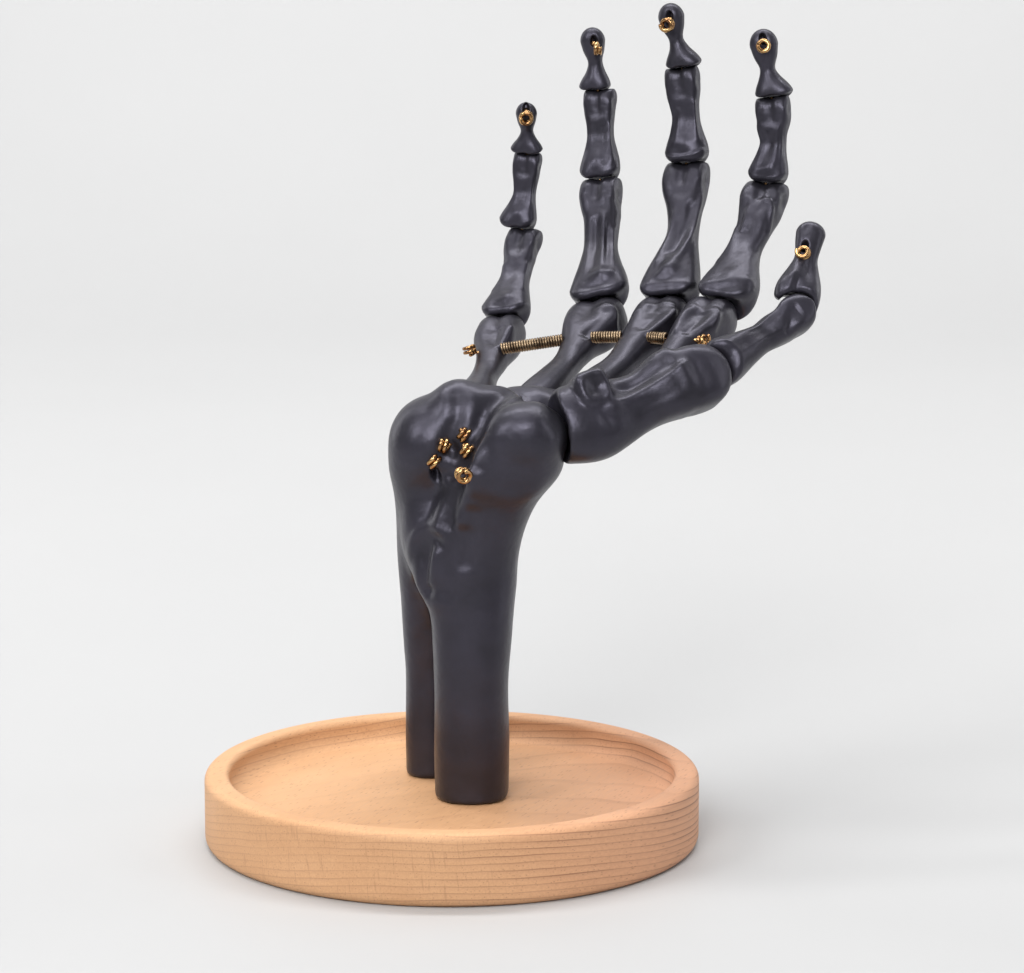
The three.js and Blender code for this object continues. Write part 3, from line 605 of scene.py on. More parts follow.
# rises and hollows on each kind of bone: degrees from the palm side, share of the length, their spreads, and mm
boneMarks = {
    "metacarpal": [
        (-42, 0.92, 26, 0.09, 0.4), (44, 0.92, 22, 0.09, 0.55), (8, 0.86, 15, 0.10, -0.5),
        (-88, 0.9, 20, 0.06, -0.4), (88, 0.9, 20, 0.06, -0.4),
    ],
    "proximal": [
        (-56, 0.07, 30, 0.13, 0.8), (58, 0.07, 28, 0.13, 0.8), (-4, 0.03, 17, 0.10, -0.7),
        (10, 0.20, 14, 0.07, 0.55), (0, 0.52, 27, 0.22, -0.5),
        (0, 0.84, 26, 0.06, -0.5), (-44, 0.95, 20, 0.06, 0.35), (46, 0.96, 18, 0.06, 0.5),
        (-90, 0.96, 16, 0.05, -0.5), (90, 0.96, 16, 0.05, -0.5),
    ],
    "middle": [
        (-56, 0.09, 30, 0.14, 0.55), (58, 0.09, 28, 0.14, 0.5), (0, 0.04, 17, 0.11, -0.5),
        (6, 0.26, 14, 0.08, 0.3), (0, 0.55, 27, 0.2, -0.5), (-52, 0.54, 11, 0.22, 0.35),
        (52, 0.54, 11, 0.22, 0.35),
        (0, 0.83, 24, 0.06, -0.35), (-44, 0.95, 18, 0.07, 0.3), (46, 0.96, 18, 0.07, 0.35),
        (-90, 0.95, 16, 0.06, -0.4), (90, 0.95, 16, 0.06, -0.4),
    ],
    "distal": [
        (-54, 0.08, 28, 0.12, 0.2), (56, 0.08, 26, 0.12, 0.2), (0, 0.03, 16, 0.10, -0.25),
        (4, 0.3, 18, 0.1, 0.2),
    ],
    "thumb_metacarpal": [
        (150, 0.08, 36, 0.13, 1.0), (102, 0.10, 26, 0.10, 0.6), (58, 0.56, 20, 0.24, -1.2),
        (-30, 0.5, 22, 0.26, 0.6), (176, 0.30, 58, 0.25, 3.2), (0, 0.82, 34, 0.13, 2.6),
        (40, 0.97, 26, 0.07, 0.5), (142, 0.93, 28, 0.09, 0.6), (94, 0.97, 26, 0.06, -0.4),
    ],
    "thumb_proximal": [
        (42, 0.92, 26, 0.1, 0.5), (112, 0.93, 26, 0.1, 0.6), (60, 0.10, 30, 0.12, 0.4),
        (130, 0.10, 26, 0.12, 0.5), (-4, 0.85, 46, 0.075, -1.3), (84, 0.30, 18, 0.14, -0.5),
        (50, 0.55, 10, 0.22, 0.4), (100, 0.55, 10, 0.2, 0.4),
    ],
    "thumb_distal": [
        (26, 0.12, 28, 0.14, 0.8), (112, 0.12, 22, 0.14, 0.8), (76, 0.06, 10, 0.16, -1.0),
        (60, 0.26, 16, 0.10, 0.5), (96, 0.36, 12, 0.16, -0.6), (60, 0.88, 24, 0.07, -0.6),
    ],
}
# crests and creases of single bones: points as (share of the length, degrees from the palm side), the spreads
# to the right and left of the run, and the height, in mm
boneLines = {
    "middle_proximal": [
        (((0.1, -12), (0.23, 4), (0.33, 15), (0.42, 30), (0.52, 52), (0.63, 62), (0.78, 71),
          (0.92, 80)), 1.0, 0.8, 0.85),
        (((0.3, -8), (0.45, 14), (0.6, 32), (0.8, 42)), 1.5, 1.5, -0.75),
        (((0.2, -28), (0.37, -28), (0.52, -30), (0.62, -23), (0.74, -6)), 1.0, 1.0, 0.45),
        (((0.09, -60), (0.085, -12), (0.085, 8), (0.09, 34), (0.1, 70)), 1.3, 1.3, 0.4),
    ],
    "ring_proximal": [
        (((0.1, 12), (0.3, 11), (0.47, 19), (0.62, 22), (0.8, 20)), 0.8, 0.8, 0.6),
        (((0.12, 22), (0.32, 37), (0.51, 60), (0.68, 62)), 0.8, 0.8, 0.6),
        (((0.2, 0), (0.41, -6), (0.6, -11), (0.78, -4)), 1.0, 1.0, -0.55),
        (((0.2, 22), (0.45, 40), (0.7, 42)), 1.1, 1.1, -0.5),
        (((0.06, -60), (0.06, 0), (0.06, 60)), 0.9, 0.9, 0.4),
    ],
    "index_proximal": [
        (((0.62, -18), (0.72, -11), (0.82, -4), (0.95, 2)), 0.8, 0.8, 0.5),
        (((0.66, 84), (0.78, 72), (0.87, 46), (0.95, 2)), 0.8, 0.8, 0.5),
        (((0.3, -52), (0.5, -52), (0.72, -50)), 1.0, 1.0, 0.4),
        (((0.09, -60), (0.11, -11), (0.15, 22), (0.24, 64)), 1.7, 1.5, 0.4),
    ],
    "little_proximal": [
        (((0.3, -52), (0.5, -52), (0.72, -50)), 0.9, 0.9, 0.35),
        (((0.3, 52), (0.5, 52), (0.72, 50)), 0.9, 0.9, 0.35),
        (((0.06, -60), (0.07, -15), (0.04, 15), (0.06, 70)), 0.8, 0.8, 0.5),
    ],
    "middle_middle": [
        (((0.07, -70), (0.1, -30), (0.1, 10), (0.15, 40), (0.2, 70)), 0.8, 0.8, 0.5),
        (((0.2, -20), (0.45, -14), (0.7, -10)), 0.8, 0.8, 0.3),
        (((0.22, 40), (0.5, 46), (0.8, 52)), 0.8, 0.8, 0.4),
    ],
    "index_middle": [
        (((0.12, 12), (0.35, 22), (0.6, 26), (0.82, 24)), 0.8, 0.8, 0.35),
        (((0.2, -12), (0.45, -4), (0.75, -2)), 0.9, 0.9, -0.35),
        (((0.06, -60), (0.08, 0), (0.08, 60)), 0.8, 0.8, 0.35),
    ],
    "ring_middle": [
        (((0.15, 46), (0.4, 52), (0.75, 56)), 0.8, 0.8, 0.4),
        (((0.15, 20), (0.4, 24), (0.75, 26)), 0.9, 0.9, -0.3),
    ],
    "ring_metacarpal": [
        (((0.7, 34), (0.84, 34), (0.95, 37)), 1.2, 1.2, -0.9),
        (((0.86, 96), (0.91, 68), (0.95, 44), (0.98, 10)), 0.8, 1.1, 0.6),
    ],
    "middle_metacarpal": [
        (((0.72, 42), (0.79, 45), (0.87, 46), (0.96, 49)), 0.8, 1.1, 0.8),
        (((0.9, -30), (0.98, -6), (0.98, 20), (0.96, 49)), 0.8, 0.8, 0.45),
        (((0.74, 22), (0.84, 22), (0.93, 20)), 1.3, 1.3, -0.6),
    ],
    "index_metacarpal": [
        (((0.7, -8), (0.77, -11), (0.9, -21), (0.99, -4)), 0.8, 0.9, 0.7),
        (((0.72, 20), (0.84, 16), (0.94, 10)), 1.3, 1.3, -0.6),
        (((0.84, 76), (0.9, 54), (0.98, 20)), 0.8, 1.0, 0.6),
    ],
    "little_metacarpal": [
        (((0.7, 40), (0.82, 40), (0.95, 42)), 0.8, 1.0, 0.5),
        (((0.72, 14), (0.84, 14), (0.94, 12)), 1.1, 1.1, -0.5),
    ],
    "thumb_metacarpal": [
        (((0.26, 94), (0.36, 92), (0.46, 91), (0.59, 88), (0.73, 88), (0.83, 82), (0.95, 68)), 3.2, 0.9, 1.5),
        (((0.38, 62), (0.47, 58), (0.62, 52), (0.74, 48), (0.88, 44)), 3.0, 4.6, -1.5),
        (((0.2, 106), (0.44, 109), (0.63, 102), (0.75, 96), (0.92, 88)), 1.7, 1.7, -0.95),
    ],
    "thumb_proximal": [
        (((1.04, 80), (0.97, 86), (0.89, 94), (0.74, 122)), 0.7, 1.0, -0.55),
    ],
}


def boneKeys(link):
    # rows of height, half width, half depths to the back and palm, and shifts
    bone, seat, length = link["bone"], link["seat"], link["bone"]["length"]
    bw, bd = bone["base"][0] / 2, bone["base"][1] / 2
    ww, wd = bone["waist"][0] / 2, bone["waist"][1] / 2
    atBase, atWaist, atHead = bone.get("shift", (0, 0, 0))
    span, tip = length - seat, "tuft" in bone
    flare = bone.get("flare", ((0.15, 0.72), (0.26, 0.30)) if tip else ((0.2, 0.84), (0.34, 0.40)))
    rows = [
        (0.3 * seat, 0.95 * bw, 0.95 * bd, 0.95 * bd, atBase, 0),
        (seat + (0.02 if tip else 0.07) * span, bw, bd, bd, atBase, 0),
    ]
    for place, share in flare:
        w, d, x = (share * a + (1 - share) * b for a, b in ((bw, ww), (bd, wd), (atBase, atWaist)))
        rows.append((seat + place * span, w, d, d, x, 0.25 * (1 - share)))
    if tip:
        tw, td = bone["tuft"][0] / 2, bone["tuft"][1] / 2
        neck = seat + bone["narrow"] * span if "narrow" in bone else max(length - 2.75 * tw, seat + 0.36 * span)
        depth = 0.4 * wd + 0.6 * td
        rows += [
            (neck, ww, wd, wd, 0.5 * (atWaist + atHead), 0.2),
            (length - 1.9 * tw, 0.35 * ww + 0.65 * tw, depth, depth, atHead, 0),
            (length - 1.1 * tw, tw, td, td, atHead, 0),
        ]
        return rows, (length - 1.1 * tw, 1.1 * tw, 0.0)
    radius, half = bone["head"][0], bone["head"][1] / 2
    neckWidth, neckDepth = (2 * ww + half) / 3, (2 * wd + radius) / 3
    rows += [
        (seat + bone.get("narrow", 0.53) * span, ww, wd, wd, atWaist, 0.4),
        (length - 2.1 * radius, neckWidth, neckDepth, neckDepth, 0.5 * (atWaist + atHead), 0.2),
        (length - 0.8 * radius, 0.97 * half, 0.95 * radius, 0.93 * radius, atHead, 0),
        (length, half, radius, radius, atHead, 0),
    ]
    return rows, (length, radius, 0.62 if link["kind"] == "metacarpal" else 0.86)


def seatHeight(link, x, y):
    # the hollow under a base: a roller about the hinge, or a ball at the thumb's root
    across = x * x if link["kind"] == "metacarpal" else 0
    return np.sqrt(np.maximum(link["seat"] ** 2 - y * y - across, (0.3 * link["seat"]) ** 2))


def rimHeight(link, angle, sizes):
    # the base's edge follows the seat; it is more level in front, with a notch in the middle
    look, thumb = boneLook, link["digit"] == "thumb"
    half, back, palm, dx, dy = sizes
    x, y = superOval(angle, half, back, palm, look["power"])
    curved = seatHeight(link, x + dx, y + dy)
    toPalm = turnGap(angle, look["front"])
    if link["kind"] == "metacarpal":
        height, middle, spread = look["rootLift"]
        return curved + height * hill(toPalm, middle, spread)
    front = np.abs(turnGap(angle, look["thumbFront" if thumb else "front"]))
    level = look["level"]["thumb" if thumb else link["kind"]]
    level = level * (link["seat"] - curved) * (1 - ease(front, *look["levelFade"]))
    if thumb and link["kind"] == "distal":
        height, middle, spread = look["thumbLip"]
        level = level + height * hill(toPalm, middle, spread)
    depth, spread = look["notch"]
    return curved + level + depth * link["seat"] * hill(toPalm, 0, spread)


def boneSkin(link, seed):
    # stations along the bone carry superellipse rings; the base ends in a hollow, the head in a round end
    look, bone, seat = boneLook, link["bone"], link["seat"]
    length, headed = bone["length"], "head" in bone
    keys, (endHeight, endReach, endShare) = boneKeys(link)
    fine = np.linspace(keys[0][0], endHeight, 240)
    table = blurRun(smoothRun(keys, fine), look["blur"])
    angle = ringAngles(look["cols"])[None, :]
    thumbTip = link["digit"] == "thumb" and not headed
    front, side = look["fillet"]["thumb" if thumbTip else link["kind"]]
    fillet = front + (side - front) * np.cos(angle) ** 2
    low = rimHeight(link, angle, table[0]) + fillet if seat else 0 * angle
    z = low + (endHeight - low) * np.linspace(0, 1, look["shaftRows"])[:, None]
    half, back, palm, dx, dy = (np.interp(z, fine, column) for column in table.T)
    # the end goes on from the last ring: sizes shrink with a cosine as the height grows with a sine
    bend = np.radians(np.linspace(0, 89, look["endRows"] + 1)[1:])[:, None]
    swell = 2 / look["endPower"] if headed else 1
    close = np.cos(bend) ** swell
    half = np.concatenate([half, half[-1:] * (endShare + (1 - endShare) * close)])
    back, palm = (np.concatenate([v, v[-1:] * close]) for v in (back, palm))
    dx, dy = (np.concatenate([v, v[-1:] + 0 * bend]) for v in (dx, dy))
    z = np.concatenate([z, endHeight + endReach * np.sin(bend) ** swell + 0 * angle])
    square = look["headPower"] * ease(z, length - 2.2 * endReach, length - endReach) if headed else 0
    x, y = superOval(angle, half, back, palm, look["power"] + square)
    rise = markRise(link, turnGap(angle, look["front"]), (z - 0.7 * seat) / (length - 0.7 * seat))
    waves = ripple(seed, 2 * np.cos(angle) + 0.3 * z, 2 * np.sin(angle) - 0.2 * z)
    rise = rise + look["lumps"] * bone["waist"][0] * waves
    fade = np.where(z > length, np.cos(np.minimum((z - length) / endReach, 1) * 1.5), 1)
    grow = 1 + rise * fade / np.hypot(x, y).clip(1.5)
    rows = np.stack([x * grow + dx, y * grow + dy, z], -1)
    rows = grooveHead(rows, link) if headed else sinkTipHole(rows, link)
    return hollowBase(rows, link, fillet[0]) if seat else rows


def markRise(link, toPalm, along):
    # soft hills in angle and height, then lines along paths laid flat on the bone's mean radius
    bone, kind = link["bone"], link["kind"]
    rise = 0 * toPalm * along
    for angle, place, spread, reach, height in boneMarks["thumb_" + kind if link["digit"] == "thumb" else kind]:
        gap = (toPalm - angle + 180) % 360 - 180
        rise = rise + height * hill(gap, 0, spread) * hill(along, place, reach)
    radius, length = 0.25 * sum(bone["waist"]), bone["length"]
    around, up = np.radians(toPalm + 0 * along) * radius, along * length
    for points, rightSpread, leftSpread, height in boneLines.get(f"{link['digit']}_{kind}", []):
        path = [(np.radians(a) * radius, share * length) for share, a in points]
        line = lineRise(around.ravel(), up.ravel(), path, 0, rightSpread, leftSpread, height, 0.84)
        rise = rise + line.reshape(rise.shape)
    return rise


def grooveHead(rows, link):
    # points of the head move towards the hinge along its middle, on the palm side and the end
    look, bone, length = boneLook, link["bone"], link["bone"]["length"]
    radius, half = bone["head"][0], bone["head"][1] / 2
    x, y, z = np.moveaxis(rows, -1, 0)
    turn, away = np.degrees(np.arctan2(z - length, -y)), np.hypot(y, z - length)
    share = ease(turn, -75, -25) * (1 - ease(turn, 115, 160)) * ease(away, 0, 0.6 * radius)
    middle = hill(x, bone.get("shift", (0, 0, 0))[2], look["grooveWidth"] * half)
    sink = look["groove"][link["kind"]] * middle * share
    sink = sink * ease(z, length - 1.6 * radius, length - 0.6 * radius)
    y = y * (1 - sink)
    z = length + (z - length) * (1 - sink * (z > length))
    # the roller's reach from its hinge is eased back to its radius, so that the next bone's rim clears it
    away = np.hypot(y, z - length).clip(1e-6)
    spare = look["headSpare"]
    kept = np.where(away > radius, radius + spare * np.tanh((away - radius) / spare), away)
    kept = 1 + (kept / away - 1) * ease(z, length - 0.7 * radius, length - 0.2 * radius)
    return np.stack([x, y * kept, length + (z - length) * kept], -1)


def palmWay(link):
    # unit vectors in the bone's frame: out of the side where the wire comes out, and across it
    c, s = cosSin(hand[link["digit"]]["roll"])
    return np.array([s, -c, 0]), np.array([c, s, 0])


def sinkTipHole(rows, link):
    out, across = palmWay(link)
    wide, tall, lift, depth = boneLook["tipDent"]
    height = link["bone"]["length"] - hand[link["digit"]]["tipHole"]
    side, up = rows @ across, rows[..., 2] - height - lift
    mask = np.exp(-((side / wide) ** 2 + (up / tall) ** 2) ** 2) * (rows @ out > 0)
    return rows - out * (depth * mask)[..., None]


def hollowBase(rows, link, fillet):
    # the first ring turns in over a small fillet, and the seat's own surface closes it
    look, ring = boneLook, rows[0]
    rim = ring[:, 2] - fillet
    rise = rim - seatHeight(link, ring[:, 0], ring[:, 1])
    bend = np.radians(np.linspace(0, 90, look["filletRows"] + 1)[:-1])[:, None]
    inset = 1 - fillet * (1 - np.sin(bend)) / np.hypot(ring[:, 0], ring[:, 1])
    edge = np.stack([ring[:, 0] * inset, ring[:, 1] * inset, rim + fillet * (1 - np.cos(bend))], -1)
    clear = seatHeight(link, edge[..., 0], edge[..., 1])  # of the roller that it turns on
    edge[..., 2] = np.maximum(edge[..., 2], clear)
    share = np.linspace(look["floorStart"], 1, look["floorRows"] + 1)[:-1, None] * inset[0]
    fx, fy = ring[:, 0] * share, ring[:, 1] * share
    floor = np.stack([fx, fy, seatHeight(link, fx, fy) + rise * share ** 3], -1)
    return np.concatenate([floor, edge, rows])


def followNext(rows, link, after):
    # the head's points turn with the next bone's hinge
    if after is None:
        return rows
    length, radius = link["bone"]["length"], link["bone"]["head"][0]
    cross = np.cross([1, 0, 0], link["axes"].T @ after["axes"][:, 0])
    share = ease(rows[..., 2:], length - 1.8 * radius, length - 0.4 * radius)
    return rows + share * np.cross(cross, rows - np.array([0, 0, length]))


chains = {digit: layOut(digit) for digit in hand}
# dent is its middle and half size on the outer face; held is how firmly points stay, once past the near range
beak = {
    "place": (4.2, -5.4, 19.2), "half": (5.6, 5.0, 4.8), "power": 4.0, "dimple": 2.4, "dent": (0.1, 0.15, 0.62),
    "voxel": 0.55, "relax": 9, "held": 0.8, "near": (6, 11),
}


def beakSkin():
    # a rounded block on the thumb metacarpal's palm side, with a dimple in its outer face
    unit = unitBlock(beak["power"], 86, 48)
    y, z, size = beak["dent"]
    dent = ((unit[..., 1] - y) / size) ** 2 + ((unit[..., 2] - z) / size) ** 2
    rows = unit * np.array(beak["half"])
    rows[..., 0] -= beak["dimple"] * np.exp(-dent ** 1.2) * (unit[..., 0] > 0)
    return rows + np.array(beak["place"])


def growTogether(name, skins, voxel, relax, held):
    # the skins joined over a grid of cells, then each point drawn towards its neighbours, less where it is held
    rough = addObject(name, meshOfSkins(name, skins))
    join = rough.modifiers.new("join", "REMESH")
    join.mode = "VOXEL"
    join.voxel_size = voxel * mm
    joined = bpy.data.meshes.new_from_object(rough.evaluated_get(bpy.context.evaluated_depsgraph_get()))
    rough.modifiers.clear()
    count = len(joined.vertices)
    points, edges = readPoints(joined, "co").astype(float) / mm, np.zeros(len(joined.edges) * 2, np.int32)
    joined.edges.foreach_get("vertices", edges)
    a, b = edges.reshape(-1, 2).T
    ends, others = np.concatenate([a, b]), np.concatenate([b, a])
    share = 1 / np.bincount(ends, minlength=count)
    pull = 0.5 * (1 - held(points))[:, None]
    for _ in range(relax):
        mean = np.stack([np.bincount(ends, points[others, i], count) * share for i in range(3)], -1)
        points = points + pull * (mean - points)
    writePoints(joined, points)
    rough.data = joined
    split = rough.modifiers.new("split", "SUBSURF")
    split.levels = split.render_levels = 1
    grown = bpy.data.meshes.new_from_object(rough.evaluated_get(bpy.context.evaluated_depsgraph_get()))
    bpy.data.objects.remove(rough)
    grown.name = name
    grown.polygons.foreach_set("use_smooth", np.ones(len(grown.polygons), bool))
    grown.materials.clear()
    return grown


def makeBones():
    for digitSeed, (digit, chain) in enumerate(chains.items()):
        for i, link in enumerate(chain):
            after = chain[i + 1] if i + 1 < len(chain) else None
            rows = toWorld(link, followNext(boneSkin(link, 31 * digitSeed + i), link, after))
            name = f"{digit}_{link['kind']}"
            if name == "thumb_metacarpal":
                middle = toWorld(link, np.array(beak["place"]))
                held = lambda p: beak["held"] * ease(np.linalg.norm(p - middle, axis=1), *beak["near"])
                skins = [rows, toWorld(link, beakSkin())]
                mesh = growTogether(name, skins, beak["voxel"], beak["relax"], held)
            else:
                mesh = meshOfSkins(name, [rows])
            rooted = link["kind"] == "metacarpal" and digit != "thumb"
            addPiece(name + "_bone", mesh, "stand" if rooted else name, resin, name)


makeBones()
print("bones made")

# forearm: sections of its two bones as height, x, y, half width, half depth
forearm = {
    "power": 2.5, "rows": 110, "cols": 96, "voxel": 1.0, "relax": 20, "uneven": 0.4,
    "held": (15, 28), "footFade": (12.3, 16),  # heights between which the legs' ends give way to the rest
    "radius": [
        (12.1, 5.2, -1.5, 9.5, 10.6), (13.4, 5.2, -1.5, 9.7, 10.8), (38, 5.2, -1.5, 9.9, 11.0),
        (60, 5.3, -0.8, 10.7, 11.0), (72, 3.6, 0.6, 13.8, 11.8), (80, 4.6, 1, 13.8, 12.4),
        (90, 9, 0, 12.9, 12.9), (100, 15, -3, 14.3, 13.3), (106, 16.6, -4, 12.8, 12.2), (110, 17, -3, 8.5, 8),
    ],
    "ulna": [
        (12.1, -5.5, 21.6, 6.9, 7.1), (13.4, -5.5, 21.6, 7.2, 7.4), (38, -5.5, 21.6, 7.3, 7.4),
        (60, -6, 20, 7.9, 8.4), (75, -5.5, 16.5, 9.2, 10.4), (90, -5, 12, 10.2, 12.4),
        (101, -4.5, 8, 12.2, 12.9), (106, -4, 7, 11, 12), (110, -3.4, 6.5, 6, 7),
    ],
    "lumps": [  # centre, half sizes, turn about the upright
        ((22, 18, 108), (24, 9.8, 9.6), -14),
        ((19.7, -8, 109), (11.2, 11.2, 9.2), 0),
        ((-4.4, 6.5, 104.8), (12.6, 13, 13), 0),
        ((2.4, 4, 108.6), (11, 10.2, 13.8), 0),
        ((11.5, 4.5, 109.4), (9.6, 10, 11.4), 0),
        ((19, -4.5, 107.6), (10.8, 11.6, 9.8), 0),
        ((-7, 5.5, 84), (6.6, 8.6, 16), 0),
    ],
}
# ridges and grooves of its front: a path in x and z, then where the crest lies across the path (to the left
# of its run), the spreads to the right and left, and the height
lobeEdge = ((28.3, 116.5), (22, 117.3), (18.6, 117.2), (14.9, 116.5), (11.7, 114.2), (10.3, 110), (8, 106.2),
            (6.6, 102.9), (5.2, 97.3), (4.5, 94.4), (2.8, 89.2), (1.9, 84))
frontMarks = [
    (lobeEdge[:10], 0, 1.2, 5.5, 1.4),
    (lobeEdge[:10], -2.7, 2.2, 1.5, -1.0),
    (lobeEdge[7:], 0, 1.8, 3.4, 1.1),
    (((1.5, 123), (2, 114.7), (-0.3, 108.6), (-1.5, 101)), 0, 2.6, 2.8, -1.2),
    (((2.6, 101), (1.6, 96), (0.2, 91), (-1.4, 84)), 0, 2.3, 2.3, -1.3),
    (((-0.6, 99), (-1.2, 95), (-2.9, 90), (-3.9, 82)), 0, 1.6, 1.4, 0.7),
    (((-2.4, 84), (-5, 85.2), (-7.6, 84.2), (-9.7, 81.2), (-10.4, 77), (-10.2, 72), (-9.2, 67.4), (-6.8, 61.9),
      (-5.4, 53)), 0, 1.4, 1.2, 0.9),
    (((-2.6, 84), (-6.2, 80.8), (-7.4, 77), (-7.5, 72), (-7, 64)), 0, 2.3, 2.5, -2.3),
    (((-5.0, 84), (-5.4, 78), (-6.0, 73), (-7.0, 67)), 0, 1.5, 1.6, 0.7),
    (((-1, 88), (-1.6, 80), (-2, 74), (-3, 65)), 0, 3.2, 3.0, -0.9),
    (((5.4, 93), (4.2, 83), (3.6, 73)), 0, 2.6, 2.6, -0.8),
    (((3, 97), (11.7, 94.9), (18.6, 94), (26, 97)), 0, 2.4, 2.4, 0.4),
]
# small pits: middle in x and z, half sizes, turn, depth
frontPits = [
    ((-3.9, 98.4), (1.0, 1.9), 20, 2.6),
    ((0.4, 105.3), (1.4, 1.8), 10, 1.0),
]


def ovalLoft(sections):
    sections = np.asarray(sections, float)
    z = np.linspace(sections[0, 0], sections[-1, 0], forearm["rows"])
    x, y, w, d = (v[:, None] for v in smoothRun(sections, z).T)
    ox, oy = superOval(ringAngles(forearm["cols"])[None, :], w, d, d, forearm["power"])
    return np.stack([x + ox, y + oy, z[:, None] + 0 * ox], -1)


def ballSkin(centre, half, turn):
    c, s = cosSin(turn)
    spin = np.array([[c, -s, 0], [s, c, 0], [0, 0, 1]])
    return unitBlock(2, 88, 64) * np.array(half) @ spin.T + np.array(centre)


def frontRise(points, normals):
    # slow unevenness all over, then the front's lines and pits where the casting faces forward
    x, z = points[:, 0], points[:, 2]
    facing = ease(0.25 * normals[:, 2] - normals[:, 1], 0.05, 0.5)
    rise = forearm["uneven"] * ripple(7, 0.22 * x + 0.1 * points[:, 1], 0.16 * z)
    for mark in frontMarks:
        rise = rise + facing * lineRise(x, z, *mark, 0.8)
    for (px, pz), (w, h), turn, depth in frontPits:
        c, s = cosSin(turn)
        u, v = (x - px) * c + (z - pz) * s, (z - pz) * c - (x - px) * s
        rise = rise - depth * facing * np.exp(-((u / w) ** 2 + (v / h) ** 2) ** 1.6)
    return rise


def makeForearm():
    # the two bones, the carpal row and the thumb's saddle grow together, then the front's marks are raised
    skins = [ovalLoft(forearm[name]) for name in ("radius", "ulna")]
    skins += [ballSkin(*lump) for lump in forearm["lumps"]]
    grown = growTogether("forearm_casting", skins, forearm["voxel"], forearm["relax"],
                         lambda p: 1 - ease(p[:, 2], *forearm["held"]))
    points, normals = readPoints(grown, "co") / mm, readPoints(grown, "normal")
    level = ease(points[:, 2], *forearm["footFade"])
    points = points + normals * (frontRise(points, normals) * level)[:, None]
    writePoints(grown, points)
    grown.update()
    addPiece("forearm_casting", grown, "stand", resin, "forearm")
    return points


forearmPoints = makeForearm()
print("forearm made:", len(forearmPoints), "points")


def frontOf(x, z):
    # how far forward the casting's surface stands at a place on its front
    near = np.hypot(forearmPoints[:, 0] - x, forearmPoints[:, 2] - z) < 1.2
    return forearmPoints[near, 1].min()


# wires: a round section carried along a path without twisting
def wireSkin(path, radius, sides=14):
    path = np.asarray(path, float)
    tangent = np.gradient(path, axis=0)
    tangent /= np.linalg.norm(tangent, axis=1)[:, None]
    guide = np.array([0.0, 0.0, 1.0]) if abs(tangent[0, 2]) < 0.9 else np.array([1.0, 0.0, 0.0])
    normals = []
    for t in tangent:
        guide = unitWay(guide - t * (guide @ t))
        normals.append(guide)
    normals = np.array(normals)
    a = ringAngles(sides)[:, None]
    spokes = normals[:, None] * np.cos(a) + np.cross(tangent, normals)[:, None] * np.sin(a)
    return path[:, None] + radius * spokes


eyelet = {
    "wire": 0.6, "radius": 1.45, "turns": 1.8, "pitch": 1.15, "steps": 52, "proud": 0.35,
    "stem": (2.4, 0.5),  # how far below the surface it starts and ends
}


def eyeletPath(link):
    # out of the hole near the tip, then round into a loop that hangs against the bone
    out, across = palmWay(link)
    digit, bone = hand[link["digit"]], link["bone"]
    tw, td = bone["tuft"][0] / 2, bone["tuft"][1] / 2
    (cosRoll, sinRoll), (cosTwist, sinTwist) = cosSin(digit["roll"]), cosSin(digit["twist"])
    height = bone["length"] - digit["tipHole"]
    slim = np.sqrt(np.clip(1 - ((height - bone["length"] + 1.1 * tw) / (1.1 * tw)) ** 2, 0.3, 1))
    depth = slim * np.hypot(tw * sinRoll, td * cosRoll) + eyelet["proud"]
    axis, side = out * cosTwist + across * sinTwist, across * cosTwist - out * sinTwist
    turn = np.linspace(0, eyelet["turns"], eyelet["steps"])[:, None]
    a = 2 * np.pi * turn
    foot = np.array([bone.get("shift", (0, 0, 0))[2], 0, height]) + out * depth
    loop = (foot + axis * eyelet["pitch"] * (turn - 0.5 * sinTwist)
            + eyelet["radius"] * (side * np.sin(a) + np.array([0, 0, 1.0]) * (np.cos(a) - 1)))
    inner, outer = eyelet["stem"]
    stem = foot - out * np.linspace(min(depth, inner), outer, 8)[:, None]
    return np.concatenate([stem, loop])


def makeEyelets():
    for digit, chain in chains.items():
        rows = toWorld(chain[-1], wireSkin(eyeletPath(chain[-1]), eyelet["wire"]))
        mesh = meshOfSkins(digit + "_eyelet", [rows])
        addPiece(digit + "_eyelet", mesh, digit + "_distal", brass, digit + "_tip_wire")


makeEyelets()


def coilPath(start, axis, radius, turns, pitch, perTurn=28, wide=0):
    # turns about an axis; unless it is wide at once, the coil widens from its middle over part of a turn
    axis = unitWay(axis)
    first = unitWay(np.cross([0.0, 0.0, 1.0], axis))
    t = np.linspace(0, turns, int(turns * perTurn))[:, None]
    reach = radius * np.minimum(1, wide + 2.5 * t)
    swing = first * np.cos(2 * np.pi * t) + np.cross(axis, first) * np.sin(2 * np.pi * t)
    return np.asarray(start, float) + axis * pitch * t + reach * swing


# the wires' wound ends at the wrist: middle in x and z, axis, count of turns
wristCoils = {
    "middle": ((3.5, 109.2), (0.67, -0.08, -0.74), 2.1),
    "index": ((4.2, 105.6), (0.67, -0.08, -0.74), 2.1),
    "ring": ((-1.8, 106.3), (0.92, -0.08, -0.39), 2.1),
    "little": ((-4.2, 102.2), (0.61, -0.08, -0.79), 2.1),
    "thumb": ((3.4, 100.4), (0.36, -0.88, -0.3), 2.3),
}
wristCoil = {"radius": 1.6, "pitch": 1.3, "wire": 0.6, "sink": 0.1}


